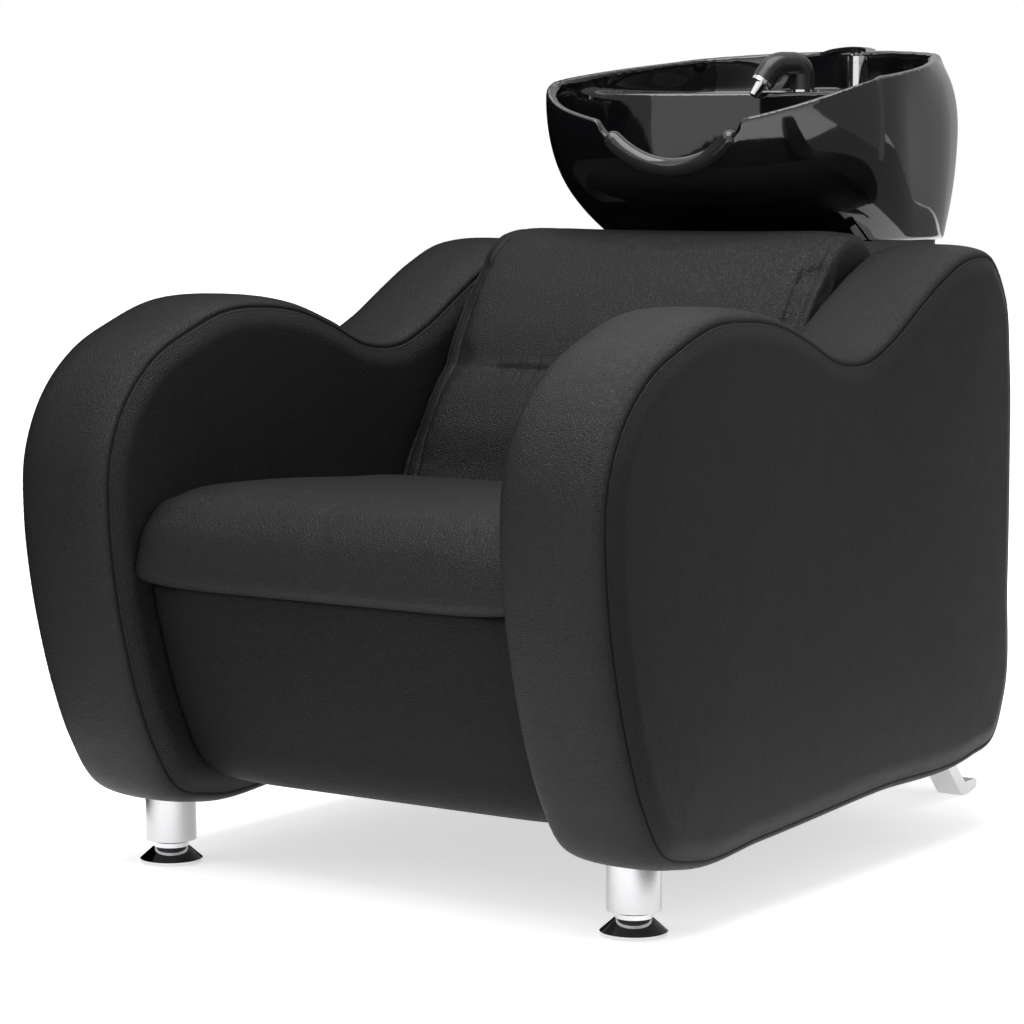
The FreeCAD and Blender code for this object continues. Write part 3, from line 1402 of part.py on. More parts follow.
def shower_hose():
    """The hand shower's hose, which hangs in a loop under the ledge."""
    x, y = s.shower_x, front(s.shower_setback)
    end_x, end_y = tail_place(90)
    top = ledge_level() - s.shower_seat_depth
    low = top - s.shower_hose_drop
    knee = top - LOOP_KNEE * s.shower_hose_drop
    route = [V(x, y, top), V(x, y, knee), V((2 * x + end_x) / 3, (2 * y + end_y) / 3, low),
             V((x + 2 * end_x) / 3, (y + 2 * end_y) / 3, low), V(end_x, end_y, knee),
             V(end_x, end_y, ledge_level() - s.mixer_shank)]
    node(shaped("shower_hose_tube", tube(route, s.shower_hose_radius)), "shower_hose")


# Mixer
def mixer():
    x, y = "mixer_x", from_front("mixer_setback")
    top = "mixer_height"
    body = turned("mixer_body_turned", [
        ("0", "0 - mixer_shank"), ("mixer_shank_radius", "0 - mixer_shank"), ("mixer_shank_radius", "0"),
        ("mixer_flange_radius", "0"), ("mixer_flange_radius", "mixer_flange"),
        ("mixer_radius", "mixer_flange"),
        ("mixer_radius", top), ("dome_stem_radius + pin_gap", top),
        ("dome_stem_radius + pin_gap", top + " - dome_stem - dome_gap"),
        ("0", top + " - dome_stem - dome_gap")])
    node(place(body, x, y, LEDGE_TOP), "mixer_body")

    nut = cylinder("mixer_nut_disc", "mixer_nut_radius", "mixer_nut_height", x, y,
                   LEDGE_TOP + " - ledge_thickness - mixer_nut_height")
    nut_hole = cylinder("mixer_nut_hole", "mixer_shank_radius + pin_gap",
                        "mixer_nut_height + 2 * overrun", x, y,
                        LEDGE_TOP + " - ledge_thickness - mixer_nut_height - overrun")
    node(cut("mixer_nut_ring", nut, nut_hole), "mixer_nut")

    cap_base = LEDGE_TOP + " + mixer_height + dome_gap"
    cap_top = cap_base + " + dome_height - dome_gap"
    cap = turned("dome_turned", [
        ("0", "0 - dome_stem - dome_gap"), ("dome_stem_radius", "0 - dome_stem - dome_gap"),
        ("dome_stem_radius", "0"),
        ("mixer_radius", "0"), ("mixer_radius", "dome_height - dome_gap"),
        ("0", "dome_height - dome_gap")])
    place(cap, x, y, cap_base)
    pin_z = cap_top + " + dome_pin_height"
    lug = box("dome_lug", "2 * dome_pin_radius", "dome_lug_width", "dome_pin_height + overrun / 4",
              x + " - dome_pin_radius", y + " - dome_lug_width / 2", cap_top + " - overrun / 4")
    pin = cylinder("dome_pin", "dome_pin_radius", "dome_pin_length", x, y + " - dome_pin_length / 2",
                   pin_z, "y")
    node(fuse("dome_whole", cap, lug, pin), "mixer_dome")
    lever(pin_z)


# The lever's side outline from its tip over the hinge to its tail: along it as shares of the reach
# before the hinge and of the tail behind it, and its fall as a share of the tip's drop
LEVER_SHARES = [(-1.0, 1.0), (-0.6, 0.36), (-0.3, 0.09), (0.0, 0.0), (0.5, 0.10), (1.0, 0.42)]


def lever(pin_z):
    """An arched plate over the dome, with two hub cheeks on the dome's pin."""
    pin_height = value_of(pin_z)
    chain = []
    for share, fall in LEVER_SHARES:
        reach = s.lever_reach if share < 0 else s.lever_tail
        chain.append((s.mixer_x + share * reach,
                      pin_height + s.lever_underside - fall * s.lever_tip_drop))
    y_from = front(s.mixer_setback) - s.lever_width / 2
    wire = strip(chain, s.lever_thickness, 0, lambda a, b: V(a, y_from, b))
    plate = prism(wire, V(0, s.lever_width, 0))
    cheek = (s.lever_width - s.dome_lug_width) / 2 - s.clearance
    hubs = []
    for start in (y_from, y_from + s.lever_width - cheek):
        centre = V(s.mixer_x, start, pin_height)
        half = s.dome_pin_radius + s.lever_hub_wall
        hub = Part.makeCylinder(half, cheek, centre, V(0, 1, 0))
        web = Part.makeBox(2 * half, cheek, s.lever_underside + s.lever_thickness / 2,
                           V(s.mixer_x - half, start, pin_height))
        hubs.append(hub.fuse(web))
    shape = plate.fuse(hubs)
    bore = Part.makeCylinder(s.dome_pin_radius + s.pin_gap, s.lever_width + 2 * s.overrun,
                             V(s.mixer_x, y_from - s.overrun, pin_height), V(0, 1, 0))
    node(shaped("lever_plate", shape.cut(bore)), "mixer_lever")


# Hand shower
def shower_pieces():
    """The hooked hand shower, its spray face and its holder in the ledge."""
    x, y = "shower_x", from_front("shower_setback")
    floor_z = LEDGE_TOP + " - shower_seat_depth - holder_floor - clearance"
    rim = "(shower_seat_depth + holder_floor + clearance)"
    holder = turned("holder_turned", [
        ("shower_hose_radius + clearance", "0"), ("holder_radius", "0"), ("holder_radius", rim),
        ("holder_flange_radius", rim), ("holder_flange_radius", rim + " + holder_flange"),
        ("shower_handle_radius + holder_gap", rim + " + holder_flange"),
        ("shower_handle_radius + holder_gap", "holder_floor"),
        ("shower_hose_radius + clearance", "holder_floor")])
    node(place(holder, x, y, floor_z), "shower_holder")

    turn_x, turn_y = unit(math.radians(s.shower_heading))

    def at(run, rise):
        return V(s.shower_x + turn_x * run, front(s.shower_setback) + turn_y * run, ledge_level() + rise)

    start = s.holder_flange + s.clearance
    nose = at(s.shower_reach + s.shower_nose_run, s.shower_rise - s.shower_nose_drop)
    route = [at(0, start), at(0, s.shower_rise), at(s.shower_reach, s.shower_rise), nose]
    way = (nose - route[2]).normalize()
    body = tube(route, s.shower_radius)
    handle = Part.makeCylinder(s.shower_handle_radius, s.shower_seat_depth + start + s.shower_radius,
                               at(0, -s.shower_seat_depth))
    node(shaped("handset_body", body.fuse(handle).removeSplitter()), "shower_handset")
    face = Part.makeCylinder(s.shower_ring_radius, s.shower_ring_height, nose, way)
    nozzle = Part.makeCone(s.shower_nozzle_radius, s.shower_nozzle_tip_radius, s.shower_nozzle_length,
                           nose + way * s.shower_ring_height, way)
    node(shaped("spray_face", face.fuse(nozzle)), "shower_face")


seat_boards()
node(shaped("seat_cushion_form", seat_cushion()), "seat_cushion")
node(shaped("back_cushion_form", back_cushion()), "back_cushion")
back_board()
node(shaped("apron_pad_form", apron_pad()), "apron_pad")
node(shaped("apron_board_form", apron_board()), "apron_board")
rear_panel()
base_frame()
legs()
rear_feet()
column()
tilt_hinge()
basin_pieces()
waste()
valves()
hoses()
shower_hose()
mixer()
shower_pieces()
doc.recompute()

# Nothing is written unless every object is sound
for piece in doc.Objects:
    if "Invalid" in piece.State or "Error" in piece.State:
        raise RuntimeError("%s is in state %s" % (piece.Name, piece.State))
for piece in NODES:
    shape = piece.Shape
    if shape.isNull() or not shape.isValid() or not shape.Solids:
        raise RuntimeError("%s has no valid shape" % piece.Label)
os.makedirs("parts", exist_ok=True)
for piece in NODES:
    piece.Shape.exportStep("parts/%s.step" % piece.Label)
print("%d sub-parts written" % len(NODES))
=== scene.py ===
"""Looks for the backwash chair: black upholstery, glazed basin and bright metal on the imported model."""

import json
import math

import bmesh
import bpy
import numpy as np
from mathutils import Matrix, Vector
from mathutils.geometry import delaunay_2d_cdt

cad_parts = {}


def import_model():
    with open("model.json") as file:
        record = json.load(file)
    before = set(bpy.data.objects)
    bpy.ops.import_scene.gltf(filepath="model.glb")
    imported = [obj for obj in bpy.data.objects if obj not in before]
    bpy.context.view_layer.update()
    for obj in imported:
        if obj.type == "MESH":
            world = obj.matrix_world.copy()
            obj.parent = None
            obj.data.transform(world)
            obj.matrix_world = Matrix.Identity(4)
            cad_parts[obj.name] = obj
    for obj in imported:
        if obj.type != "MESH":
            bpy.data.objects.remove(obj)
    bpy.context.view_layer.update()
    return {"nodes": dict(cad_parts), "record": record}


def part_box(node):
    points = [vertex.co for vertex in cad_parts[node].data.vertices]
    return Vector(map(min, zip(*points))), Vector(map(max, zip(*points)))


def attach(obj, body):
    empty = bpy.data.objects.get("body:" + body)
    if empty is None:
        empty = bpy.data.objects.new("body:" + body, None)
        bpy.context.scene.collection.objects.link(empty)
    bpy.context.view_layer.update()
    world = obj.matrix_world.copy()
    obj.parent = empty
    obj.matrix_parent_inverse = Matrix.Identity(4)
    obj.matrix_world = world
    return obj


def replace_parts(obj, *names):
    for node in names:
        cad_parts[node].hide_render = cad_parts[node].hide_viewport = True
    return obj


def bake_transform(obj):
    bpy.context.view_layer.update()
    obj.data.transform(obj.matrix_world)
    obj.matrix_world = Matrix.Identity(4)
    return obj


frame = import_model()

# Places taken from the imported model
BAND_LOW, BAND_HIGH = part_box("arm_band_right")
SEAT_LOW, SEAT_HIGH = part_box("seat_cushion")
BACK_LOW, BACK_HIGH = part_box("back_cushion")
PAD_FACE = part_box("arm_outer_pad_right")[1].x
INNER_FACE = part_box("arm_inner_pad_right")[0].x

# Camera, in metres and degrees: the photograph's place, aim and lens
CAMERA_PLACE = Vector((2.0798, -3.1823, 0.7890))
CAMERA_AIM = Vector((0.0174, -0.1992, 0.4047))
CAMERA_LENS = 113.3
CAMERA_SENSOR = 36.0

# Side outline of an arm, as shares of its length from the front and of its height
ARM_SHARES = [
    (0.124, 0.030), (0.079, 0.118), (0.049, 0.217), (0.026, 0.325), (0.010, 0.430), (0.001, 0.540),
    (0.004, 0.648), (0.034, 0.746), (0.090, 0.823), (0.158, 0.868), (0.228, 0.899), (0.303, 0.903),
    (0.378, 0.890), (0.450, 0.857), (0.522, 0.817), (0.597, 0.813), (0.667, 0.850), (0.735, 0.904),
    (0.803, 0.955), (0.874, 0.990), (0.936, 0.985), (0.980, 0.910), (0.995, 0.785), (1.000, 0.570),
    (0.999, 0.350), (0.993, 0.130), (0.962, 0.055), (0.905, 0.036), (0.650, 0.027), (0.350, 0.008),
    (0.196, 0.002),
]
ARM_LENGTH = 0.888
ARM_HEIGHT = 0.612
ARM_BOTTOM = 0.081

# How the arm's band is crowned across its width, and how far its panels' edge and face lie inside it
BAND_CROWN = 0.014
BAND_FULLNESS = 0.8
PAD_EDGE_INSET = 0.0015
PAD_FACE_INSET = 0.026

# Sheen of the vinyl, and a lower sheen for the apron that is painted shade: it darkens the apron as the
# shade under the seat's overhang would
SHEEN = 0.21
PAINTED_SHADE_SHEEN = 0.08


# Shader helpers, with the middle of a noise's range, over which roughness changes
ROUGH_FROM, ROUGH_TO = 0.3, 0.7


class Shader:
    """A material's node tree with short calls to add and join nodes."""

    def __init__(self, name):
        self.material = bpy.data.materials.new(name)
        self.material.use_nodes = True
        self.tree = self.material.node_tree
        self.surface = self.tree.nodes["Principled BSDF"]
        self.place = self.add("ShaderNodeTexCoord").outputs["Object"]

    def add(self, kind, **values):
        """A new node with values for its inputs or its own settings."""
        node = self.tree.nodes.new(kind)
        for key, value in values.items():
            if key in node.inputs:
                node.inputs[key].default_value = value
            else:
                setattr(node, key, value)
        return node

    def join(self, source, target):
        self.tree.links.new(source, target)

    def set(self, **values):
        """Values for the surface's own sockets, with _ for a space in a socket's name."""
        for key, value in values.items():
            self.surface.inputs[key.replace("_", " ")].default_value = value
        return self

    def noise(self, scale, detail, stretch=None):
        """Noise in the object's own metres, drawn out where stretch is small."""
        node = self.add("ShaderNodeTexNoise", Scale=scale, Detail=detail)
        place = self.place
        if stretch:
            mapping = self.add("ShaderNodeMapping")
            mapping.inputs["Scale"].default_value = stretch
            self.join(place, mapping.inputs["Vector"])
            place = mapping.outputs["Vector"]
        self.join(place, node.inputs["Vector"])
        return node.outputs["Fac"]

    def cells(self, scale, feature="DISTANCE_TO_EDGE"):
        """Cells with so many to a metre, read by the distance to their edge or middle."""
        node = self.add("ShaderNodeTexVoronoi", Scale=scale, feature=feature)
        self.join(self.place, node.inputs["Vector"])
        return node.outputs["Distance"]

    def between(self, source, low, high, low_to, high_to):
        """Source from low to high, mapped to low_to and high_to."""
        node = self.add("ShaderNodeMapRange")
        ends = {"From Min": low, "From Max": high, "To Min": low_to, "To Max": high_to}
        for name, value in ends.items():
            node.inputs[name].default_value = value
        self.join(source, node.inputs["Value"])
        return node.outputs["Result"]

    def tint(self, source, low_colour, high_colour):
        """Base colour from one colour to the other as the source goes from 0 to 1."""
        node = self.add("ShaderNodeMix", data_type="RGBA")
        self.join(source, node.inputs["Factor"])
        node.inputs["A"].default_value = (*low_colour, 1)
        node.inputs["B"].default_value = (*high_colour, 1)
        self.join(node.outputs["Result"], self.surface.inputs["Base Color"])

    def rough(self, source, low, high):
        """Roughness from low to high over the middle of the source's range."""
        wanted = self.between(source, ROUGH_FROM, ROUGH_TO, low, high)
        self.join(wanted, self.surface.inputs["Roughness"])

    def bumps(self, layers):
        """Bumps laid on each other: each a source, its depth in metres and its strength."""
        normal = None
        for source, depth, strength in layers:
            node = self.add("ShaderNodeBump", Distance=depth, Strength=strength)
            self.join(source, node.inputs["Height"])
            if normal:
                self.join(normal, node.inputs["Normal"])
            normal = node.outputs["Normal"]
        self.join(normal, self.surface.inputs["Normal"])


# Materials
def leather(name, sheen):
    """Black vinyl with a fine pebbled grain and a soft sheen."""
    shader = Shader(name).set(IOR=1.5, Specular_IOR_Level=sheen)
    grain = shader.between(shader.cells(430), 0.0, 0.30, 0.0, 1.0)
    pores = shader.noise(1300, 3)
    shader.tint(shader.noise(9, 4), (0.0115, 0.0115, 0.0117), (0.0145, 0.0145, 0.0148))
    shader.rough(shader.noise(38, 5), 0.40, 0.44)
    shader.bumps([(shader.noise(170, 4), 0.0011, 0.30), (grain, 0.0007, 0.70), (pores, 0.0003, 0.35)])
    return shader.material


def coat(name, tint, rough, bump, **surface):
    """A smooth finish whose colour, roughness and bumps each follow their own noise.

    tint is that noise's scale and detail and two colours, rough its scale and detail and two
    roughnesses, and bump its scale and detail, a depth in metres and a strength.
    """
    shader = Shader(name).set(**surface)
    scale, detail, low_colour, high_colour = tint
    shader.tint(shader.noise(scale, detail), low_colour, high_colour)
    scale, detail, smoothest, roughest = rough
    shader.rough(shader.noise(scale, detail), smoothest, roughest)
    scale, detail, depth, strength = bump
    shader.bumps([(shader.noise(scale, detail), depth, strength)])
    return shader.material


def metal(name, low_colour, high_colour, rough, stretch, depth):
    """A bare or plated metal whose fine lines run where stretch is small."""
    shader = Shader(name).set(Metallic=1.0)
    lines = shader.noise(1600, 3, stretch)
    shader.tint(shader.noise(16, 4), low_colour, high_colour)
    shader.rough(lines, *rough)
    shader.bumps([(lines, depth, 0.3)])
    return shader.material


def plywood():
    """Birch ply with its grain along the length."""
    shader = Shader("plywood").set(IOR=1.45)
    grain = shader.noise(26, 5, (12.0, 1.0, 1.0))
    shader.tint(grain, (0.34, 0.22, 0.12), (0.52, 0.37, 0.22))
    shader.rough(grain, 0.6, 0.75)
    shader.bumps([(grain, 0.0006, 0.4)])
    return shader.material


def braid():
    """Woven steel over a rubber hose."""
    shader = Shader("hose_braid").set(Metallic=0.7)
    weave = shader.cells(900, "F1")
    shader.tint(weave, (0.10, 0.10, 0.11), (0.40, 0.40, 0.42))
    shader.rough(shader.noise(300, 3), 0.3, 0.45)
    shader.bumps([(weave, 0.0005, 0.6)])
    return shader.material


# A material for each slot of the record; the brass parts are nickel plated
MATERIALS = {
    "upholstery": leather("black_vinyl", SHEEN),
    "timber": plywood(),
    "steel_black": coat(
        "black_powder_coat", (18, 4, (0.016, 0.016, 0.016), (0.024, 0.024, 0.024)),
        (70, 4, 0.36, 0.48), (900, 3, 0.0002, 0.5), IOR=1.5),
    "steel_plated": metal(
        "plated_steel", (0.66, 0.67, 0.68), (0.76, 0.77, 0.78), (0.08, 0.14), (1, 1, 0.2), 0.0001),
    "chrome": metal(
        "chrome", (0.70, 0.71, 0.72), (0.78, 0.79, 0.80), (0.03, 0.07), (1, 1, 1), 0.00002),
    "alloy": metal(
        "satin_alloy", (0.56, 0.56, 0.57), (0.66, 0.66, 0.67), (0.22, 0.27), (1, 1, 0.03), 0.00002),
    "basin_glaze": coat(
        "black_glaze", (14, 3, (0.004, 0.004, 0.005), (0.006, 0.006, 0.007)),
        (30, 3, 0.05, 0.09), (26, 2, 0.0012, 0.12), IOR=1.52, Coat_Weight=0.6, Coat_Roughness=0.02),
    "cowl_plastic": coat(
        "gloss_black_plastic", (12, 3, (0.010, 0.010, 0.011), (0.014, 0.014, 0.015)),
        (40, 4, 0.14, 0.24), (220, 3, 0.00008, 0.3), IOR=1.48),
    "black_plastic": coat(
        "matt_black_plastic", (22, 4, (0.016, 0.016, 0.017), (0.024, 0.024, 0.025)),
        (60, 4, 0.20, 0.30), (1500, 3, 0.00005, 0.4), IOR=1.46),
    "rubber": coat(
        "soft_gel", (30, 4, (0.018, 0.018, 0.019), (0.028, 0.028, 0.029)),
        (45, 4, 0.08, 0.14), (90, 3, 0.0004, 0.3), IOR=1.45, Coat_Weight=0.3, Coat_Roughness=0.12),
    "brass": metal(
        "nickel", (0.50, 0.47, 0.42), (0.60, 0.57, 0.50), (0.2, 0.3), (1, 1, 1), 0.0001),
    "bronze": metal(
        "bronze", (0.42, 0.27, 0.13), (0.52, 0.35, 0.18), (0.3, 0.42), (1, 1, 1), 0.0002),
    "hose_braid": braid(),
}


def finish_nodes():
    """Gives each CAD node the material of its slot."""
    slots = {row["node"]: row["material_slot"] for row in frame["record"]["subparts"]}
    for name, piece in frame["nodes"].items():
        piece.data.materials.clear()
        piece.data.materials.append(MATERIALS[slots[name]])


# Smooth closed outlines, with the steps between two of their points
STEPS_PER_SPAN = 40


def smooth_loop(points, count):
    """A closed cubic curve through the points, sampled evenly along its length."""
    knots = np.array(points, float)
    size = len(knots)
    span = np.linalg.norm(np.roll(knots, -1, 0) - knots, axis=1)
    before = np.roll(span, 1)
    slope = (np.roll(knots, -1, 0) - knots) / span[:, None]
    tangent = (slope * before[:, None] + np.roll(slope, 1, 0) * span[:, None]) / (span + before)[:, None]
    dense = []
    for i in range(size):
        j = (i + 1) % size
        t = np.linspace(0, 1, STEPS_PER_SPAN, endpoint=False)[:, None]
        dense.append((2 * t**3 - 3 * t**2 + 1) * knots[i] + (t**3 - 2 * t**2 + t) * span[i] * tangent[i]
                     + (3 * t**2 - 2 * t**3) * knots[j] + (t**3 - t**2) * span[i] * tangent[j])
    dense = np.vstack(dense)
    closed = np.vstack([dense, dense[:1]])
    along = np.concatenate([[0], np.cumsum(np.linalg.norm(np.diff(closed, axis=0), axis=1))])
    places = np.linspace(0, along[-1], count, endpoint=False)
    return np.stack([np.interp(places, along, closed[:, k]) for k in range(2)], 1)


def outward_normals(loop):
    """The direction out of a closed loop at each of its points."""
    way = np.roll(loop, -1, 0) - np.roll(loop, 1, 0)
    way /= np.linalg.norm(way, axis=1)[:, None]
    area = np.sum(loop[:, 0] * np.roll(loop[:, 1], -1) - np.roll(loop[:, 0], -1) * loop[:, 1])
    side = 1 if area > 0 else -1
    return np.stack([way[:, 1], -way[:, 0]], 1) * side


def arm_loop(count):
    """The arm's side outline in metres, at so many points."""
    front = BAND_LOW.y + BAND_CROWN
    knots = [(front + a * ARM_LENGTH, ARM_BOTTOM + b * ARM_HEIGHT) for a, b in ARM_SHARES]
    return smooth_loop(knots, count)


# Meshes
def new_object(name, verts, faces):
    """A new object from points and faces."""
    mesh = bpy.data.meshes.new(name)
    mesh.from_pydata(verts, [], faces)
    mesh.update()
    made = bpy.data.objects.new(name, mesh)
    bpy.context.collection.objects.link(made)
    return made


def shade(piece, slot):
    """Gives the piece its slot's material and smooth shading."""
    piece.data.materials.clear()
    piece.data.materials.append(MATERIALS[slot])
    for face in piece.data.polygons:
        face.use_smooth = True


def dress(piece, body, slot):
    """Shades a piece that rides on one body."""
    shade(piece, slot)
    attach(piece, body)
    return piece


# Arm covers: points round the outline, then the seams' depth, inward reach and lip
ARM_SAMPLES = 1000
SEAM_DEPTH = 0.0034
SEAM_INWARD = 0.0024
SEAM_LIP = 0.0006
SEAM_LIP_DEPTH = 0.0014

# Rings over half the band, as degrees from its side to its crown, and rings over a panel's edge
BAND_ANGLES = (2, 5, 9, 14, 20, 27, 35, 44, 54, 66, 78, 90)
PANEL_STEPS = 12

# Puckers beside the seams, in cycles round the outline, their beat, and the slow swell between seams
PUCKER_REACH = 0.020
PUCKER_DEPTH = 0.00045
PUCKER_CYCLES = (170, 420)
BEAT_CYCLES = (3, 12)
BEAT_SHARE = 0.4
SWELL_DEPTH = 0.0006
SWELL_CYCLES = (3, 16)
ARM_SEEDS = {"left": 8, "right": 7}

# The outer panel's bulge, with the reach over which it grows from the seam
PANEL_BULGE = 0.004
PANEL_REACH = 0.09


def arm_rings():
    """Rings from the outer panel over the band to the inner one, as (x, outward, nearness to a seam)."""
    outer, inner = BAND_HIGH.x, BAND_LOW.x
    half = (outer - inner) / 2
    panel = []
    for k in range(PANEL_STEPS, 0, -1):
        t = k / PANEL_STEPS
        out = -PAD_EDGE_INSET - t * (PAD_FACE_INSET - PAD_EDGE_INSET)
        panel.append((math.sin(t * math.pi / 2), out, 1 - t))
    band = []
    for angle in BAND_ANGLES + tuple(180 - a for a in BAND_ANGLES[-2::-1]):
        phi = math.radians(angle)
        across = math.copysign(abs(math.cos(phi)) ** BAND_FULLNESS, math.cos(phi))
        out = BAND_CROWN * math.sin(phi) ** BAND_FULLNESS
        near = max(0.0, 1 - (half - abs(half * across)) / PUCKER_REACH)
        band.append((inner + half + half * across, out, near))
    rings = [(outer + rise * (PAD_FACE - outer), out, near) for rise, out, near in panel]
    rings += [(outer + SEAM_LIP, -SEAM_LIP_DEPTH, 1.0), (outer - SEAM_INWARD, -SEAM_DEPTH, 0.0)]
    rings += band
    rings += [(inner + SEAM_INWARD, -SEAM_DEPTH, 0.0), (inner - SEAM_LIP, -SEAM_LIP_DEPTH, 1.0)]
    rings += [(inner - rise * (inner - INNER_FACE), out, near) for rise, out, near in reversed(panel)]
    return rings


# How far a wave's random phase may go, in radians
PHASE_REACH = 6.28


def wave_noise(rng, count, low, high):
    """A closed, smooth random wave around a loop, from low to high cycles, at most 1 either way."""
    turns = np.linspace(0, 2 * math.pi, count, endpoint=False)
    total = np.zeros(count)
    cycles = np.arange(low, high)
    phases = rng.uniform(0, PHASE_REACH, len(cycles))
    sizes = rng.normal(0, 1, len(cycles))
    for cycle, phase, size in zip(cycles, phases, sizes):
        total += size * np.cos(cycle * turns + phase)
    return total / np.abs(total).max()


# Grid of a panel's face: its step in metres, and the least distance from the edge as a share of that
FACE_STEP = 0.014
FACE_CLEAR_SHARE = 0.6

# Triangles of that face: points nearer than this become one, and only what is inside the edge is kept
FACE_MERGE = 1e-7
INSIDE_ONLY = 1

# Keeps a division from meeting zero
TINY = 1e-12


def face_points(loop):
    """A grid of points inside a loop and clear of it, and how far from it each one is."""
    low, high = loop.min(0), loop.max(0)
    ys = np.arange(low[0], high[0], FACE_STEP)
    zs = np.arange(low[1], high[1], FACE_STEP)
    grid = np.array([(y, z) for y in ys for z in zs])
    inside = np.zeros(len(grid), bool)
    ends = np.roll(loop, -1, 0)
    for (y0, z0), (y1, z1) in zip(loop, ends):
        crosses = (z0 > grid[:, 1]) != (z1 > grid[:, 1])
        at = (y1 - y0) * (grid[:, 1] - z0) / (z1 - z0 + TINY) + y0
        inside ^= crosses & (grid[:, 0] < at)
    grid = grid[inside]
    clear = np.array([np.min(np.linalg.norm(loop - point, axis=1)) for point in grid])
    kept = clear > FACE_STEP * FACE_CLEAR_SHARE
    return grid[kept], clear[kept]


def ring_points(side, sign, rings):
    """The cover's points ring by ring, with its puckers and swell."""
    loop = arm_loop(ARM_SAMPLES)
    normals = outward_normals(loop)
    rng = np.random.default_rng(ARM_SEEDS[side])
    puckers = wave_noise(rng, ARM_SAMPLES, *PUCKER_CYCLES)
    puckers = puckers * (1 - BEAT_SHARE + BEAT_SHARE * wave_noise(rng, ARM_SAMPLES, *BEAT_CYCLES))
    outer_swell, inner_swell = (wave_noise(rng, ARM_SAMPLES, *SWELL_CYCLES) for _ in range(2))
    verts = []
    for number, (x, out, near) in enumerate(rings):
        mix = number / (len(rings) - 1)
        lift = out + PUCKER_DEPTH * near ** 2 * puckers
        lift = lift + SWELL_DEPTH * (1 - near) * (outer_swell * (1 - mix) + inner_swell * mix)
        for (y, z), (ny, nz), rise in zip(loop, normals, np.broadcast_to(lift, ARM_SAMPLES)):
            verts.append((sign * x, y + ny * rise, z + nz * rise))
    return verts


def ring_faces(count, sign):
    """Four-sided faces between neighbouring rings."""
    faces = []
    for r in range(count - 1):
        for i in range(ARM_SAMPLES):
            j = (i + 1) % ARM_SAMPLES
            here, there = r * ARM_SAMPLES, (r + 1) * ARM_SAMPLES
            quad = (here + i, here + j, there + j, there + i)
            faces.append(quad if sign > 0 else quad[::-1])
    return faces


def close_panel(verts, faces, ring, x, way, sign, bulge):
    """Fills a ring with a panel's face that bulges toward its middle; way is 1 outward and -1 inward."""
    edge = np.array([verts[ring * ARM_SAMPLES + i][1:] for i in range(ARM_SAMPLES)])
    inner, clear = face_points(edge)
    points = [Vector(p) for p in np.vstack([edge, inner])]
    border = [(i, (i + 1) % ARM_SAMPLES) for i in range(ARM_SAMPLES)]
    outline = [list(range(ARM_SAMPLES))]
    made = delaunay_2d_cdt(points, border, outline, INSIDE_ONLY, FACE_MERGE)
    start = len(verts)
    for number, place in enumerate(made[0]):
        lift = 0.0
        if number >= ARM_SAMPLES:
            near = clear[min(number - ARM_SAMPLES, len(clear) - 1)]
            lift = bulge * (1 - math.exp(-near / PANEL_REACH))
        verts.append((sign * (x + way * lift), place.x, place.y))
    for triangle in made[2]:
        a, b, c = [start + k if k >= ARM_SAMPLES else ring * ARM_SAMPLES + k for k in triangle]
        faces.append((a, b, c) if way * sign > 0 else (a, c, b))


def arm_cover(side, sign):
    """Band, outer panel and inner panel of an arm as one cover with two sunk seams."""
    rings = arm_rings()
    verts = ring_points(side, sign, rings)
    faces = ring_faces(len(rings), sign)
    close_panel(verts, faces, 0, rings[0][0], 1, sign, PANEL_BULGE)
    close_panel(verts, faces, len(rings) - 1, rings[-1][0], -1, sign, 0.0)
    piece = dress(new_object("arm_cover_" + side, verts, faces), "chair_base", "upholstery")
    bm = bmesh.new()
    bm.from_mesh(piece.data)
    loose = [v for v in bm.verts if not v.link_faces]
    bmesh.ops.delete(bm, geom=loose, context="VERTS")
    bmesh.ops.recalc_face_normals(bm, faces=bm.faces)
    bm.to_mesh(piece.data)
    bm.free()
    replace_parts(piece, "arm_band_" + side, "arm_outer_pad_" + side, "arm_inner_pad_" + side)


# Copies of CAD nodes as new pieces, with the share of the way that a smoothing round moves a point
SMOOTH_SHARE = 0.5


def copy_of(node, name):
    """A loose copy of a CAD node's mesh under a new name."""
    source = frame["nodes"][node]
    piece = bpy.data.objects.new(name, source.data.copy())
    piece.data.materials.clear()
    bpy.context.collection.objects.link(piece)
    return piece


def bake(piece):
    """Makes the piece's modifiers part of its mesh."""
    graph = bpy.context.evaluated_depsgraph_get()
    mesh = bpy.data.meshes.new_from_object(piece.evaluated_get(graph))
    piece.modifiers.clear()
    piece.data = mesh


def remesh(piece, voxel):
    """Rebuilds the mesh with even faces of that size in metres."""
    step = piece.modifiers.new("remesh", "REMESH")
    step.mode = "VOXEL"
    step.voxel_size = voxel
    bake(piece)


def smooth(piece, rounds):
    """Rounds the mesh's edges off."""
    step = piece.modifiers.new("smooth", "SMOOTH")
    step.iterations = rounds
    step.factor = SMOOTH_SHARE
    bake(piece)


def subdivide(piece):
    """Splits each face in four, rounded."""
    step = piece.modifiers.new("finer", "SUBSURF")
    step.levels = 1
    step.render_levels = 1
    bake(piece)


def vectors_of(piece, kind):
    """The mesh's points, for "co", or their normals, for "normal", one to a row."""
    flat = np.empty(len(piece.data.vertices) * 3)
    piece.data.vertices.foreach_get(kind, flat)
    return flat.reshape(-1, 3)


def move_points(piece, points):
    """Puts the mesh's points at these places."""
    piece.data.vertices.foreach_set("co", points.ravel())
    piece.data.update()


# Cloth that swells the cushions: frames, pressure and quality, then how far each cushion may swell
SWELL_FRAMES = 20
SWELL_PRESSURE = 4.0
SWELL_QUALITY = 4
SEAT_SWELL = 0.003
BACK_SWELL = 0.006

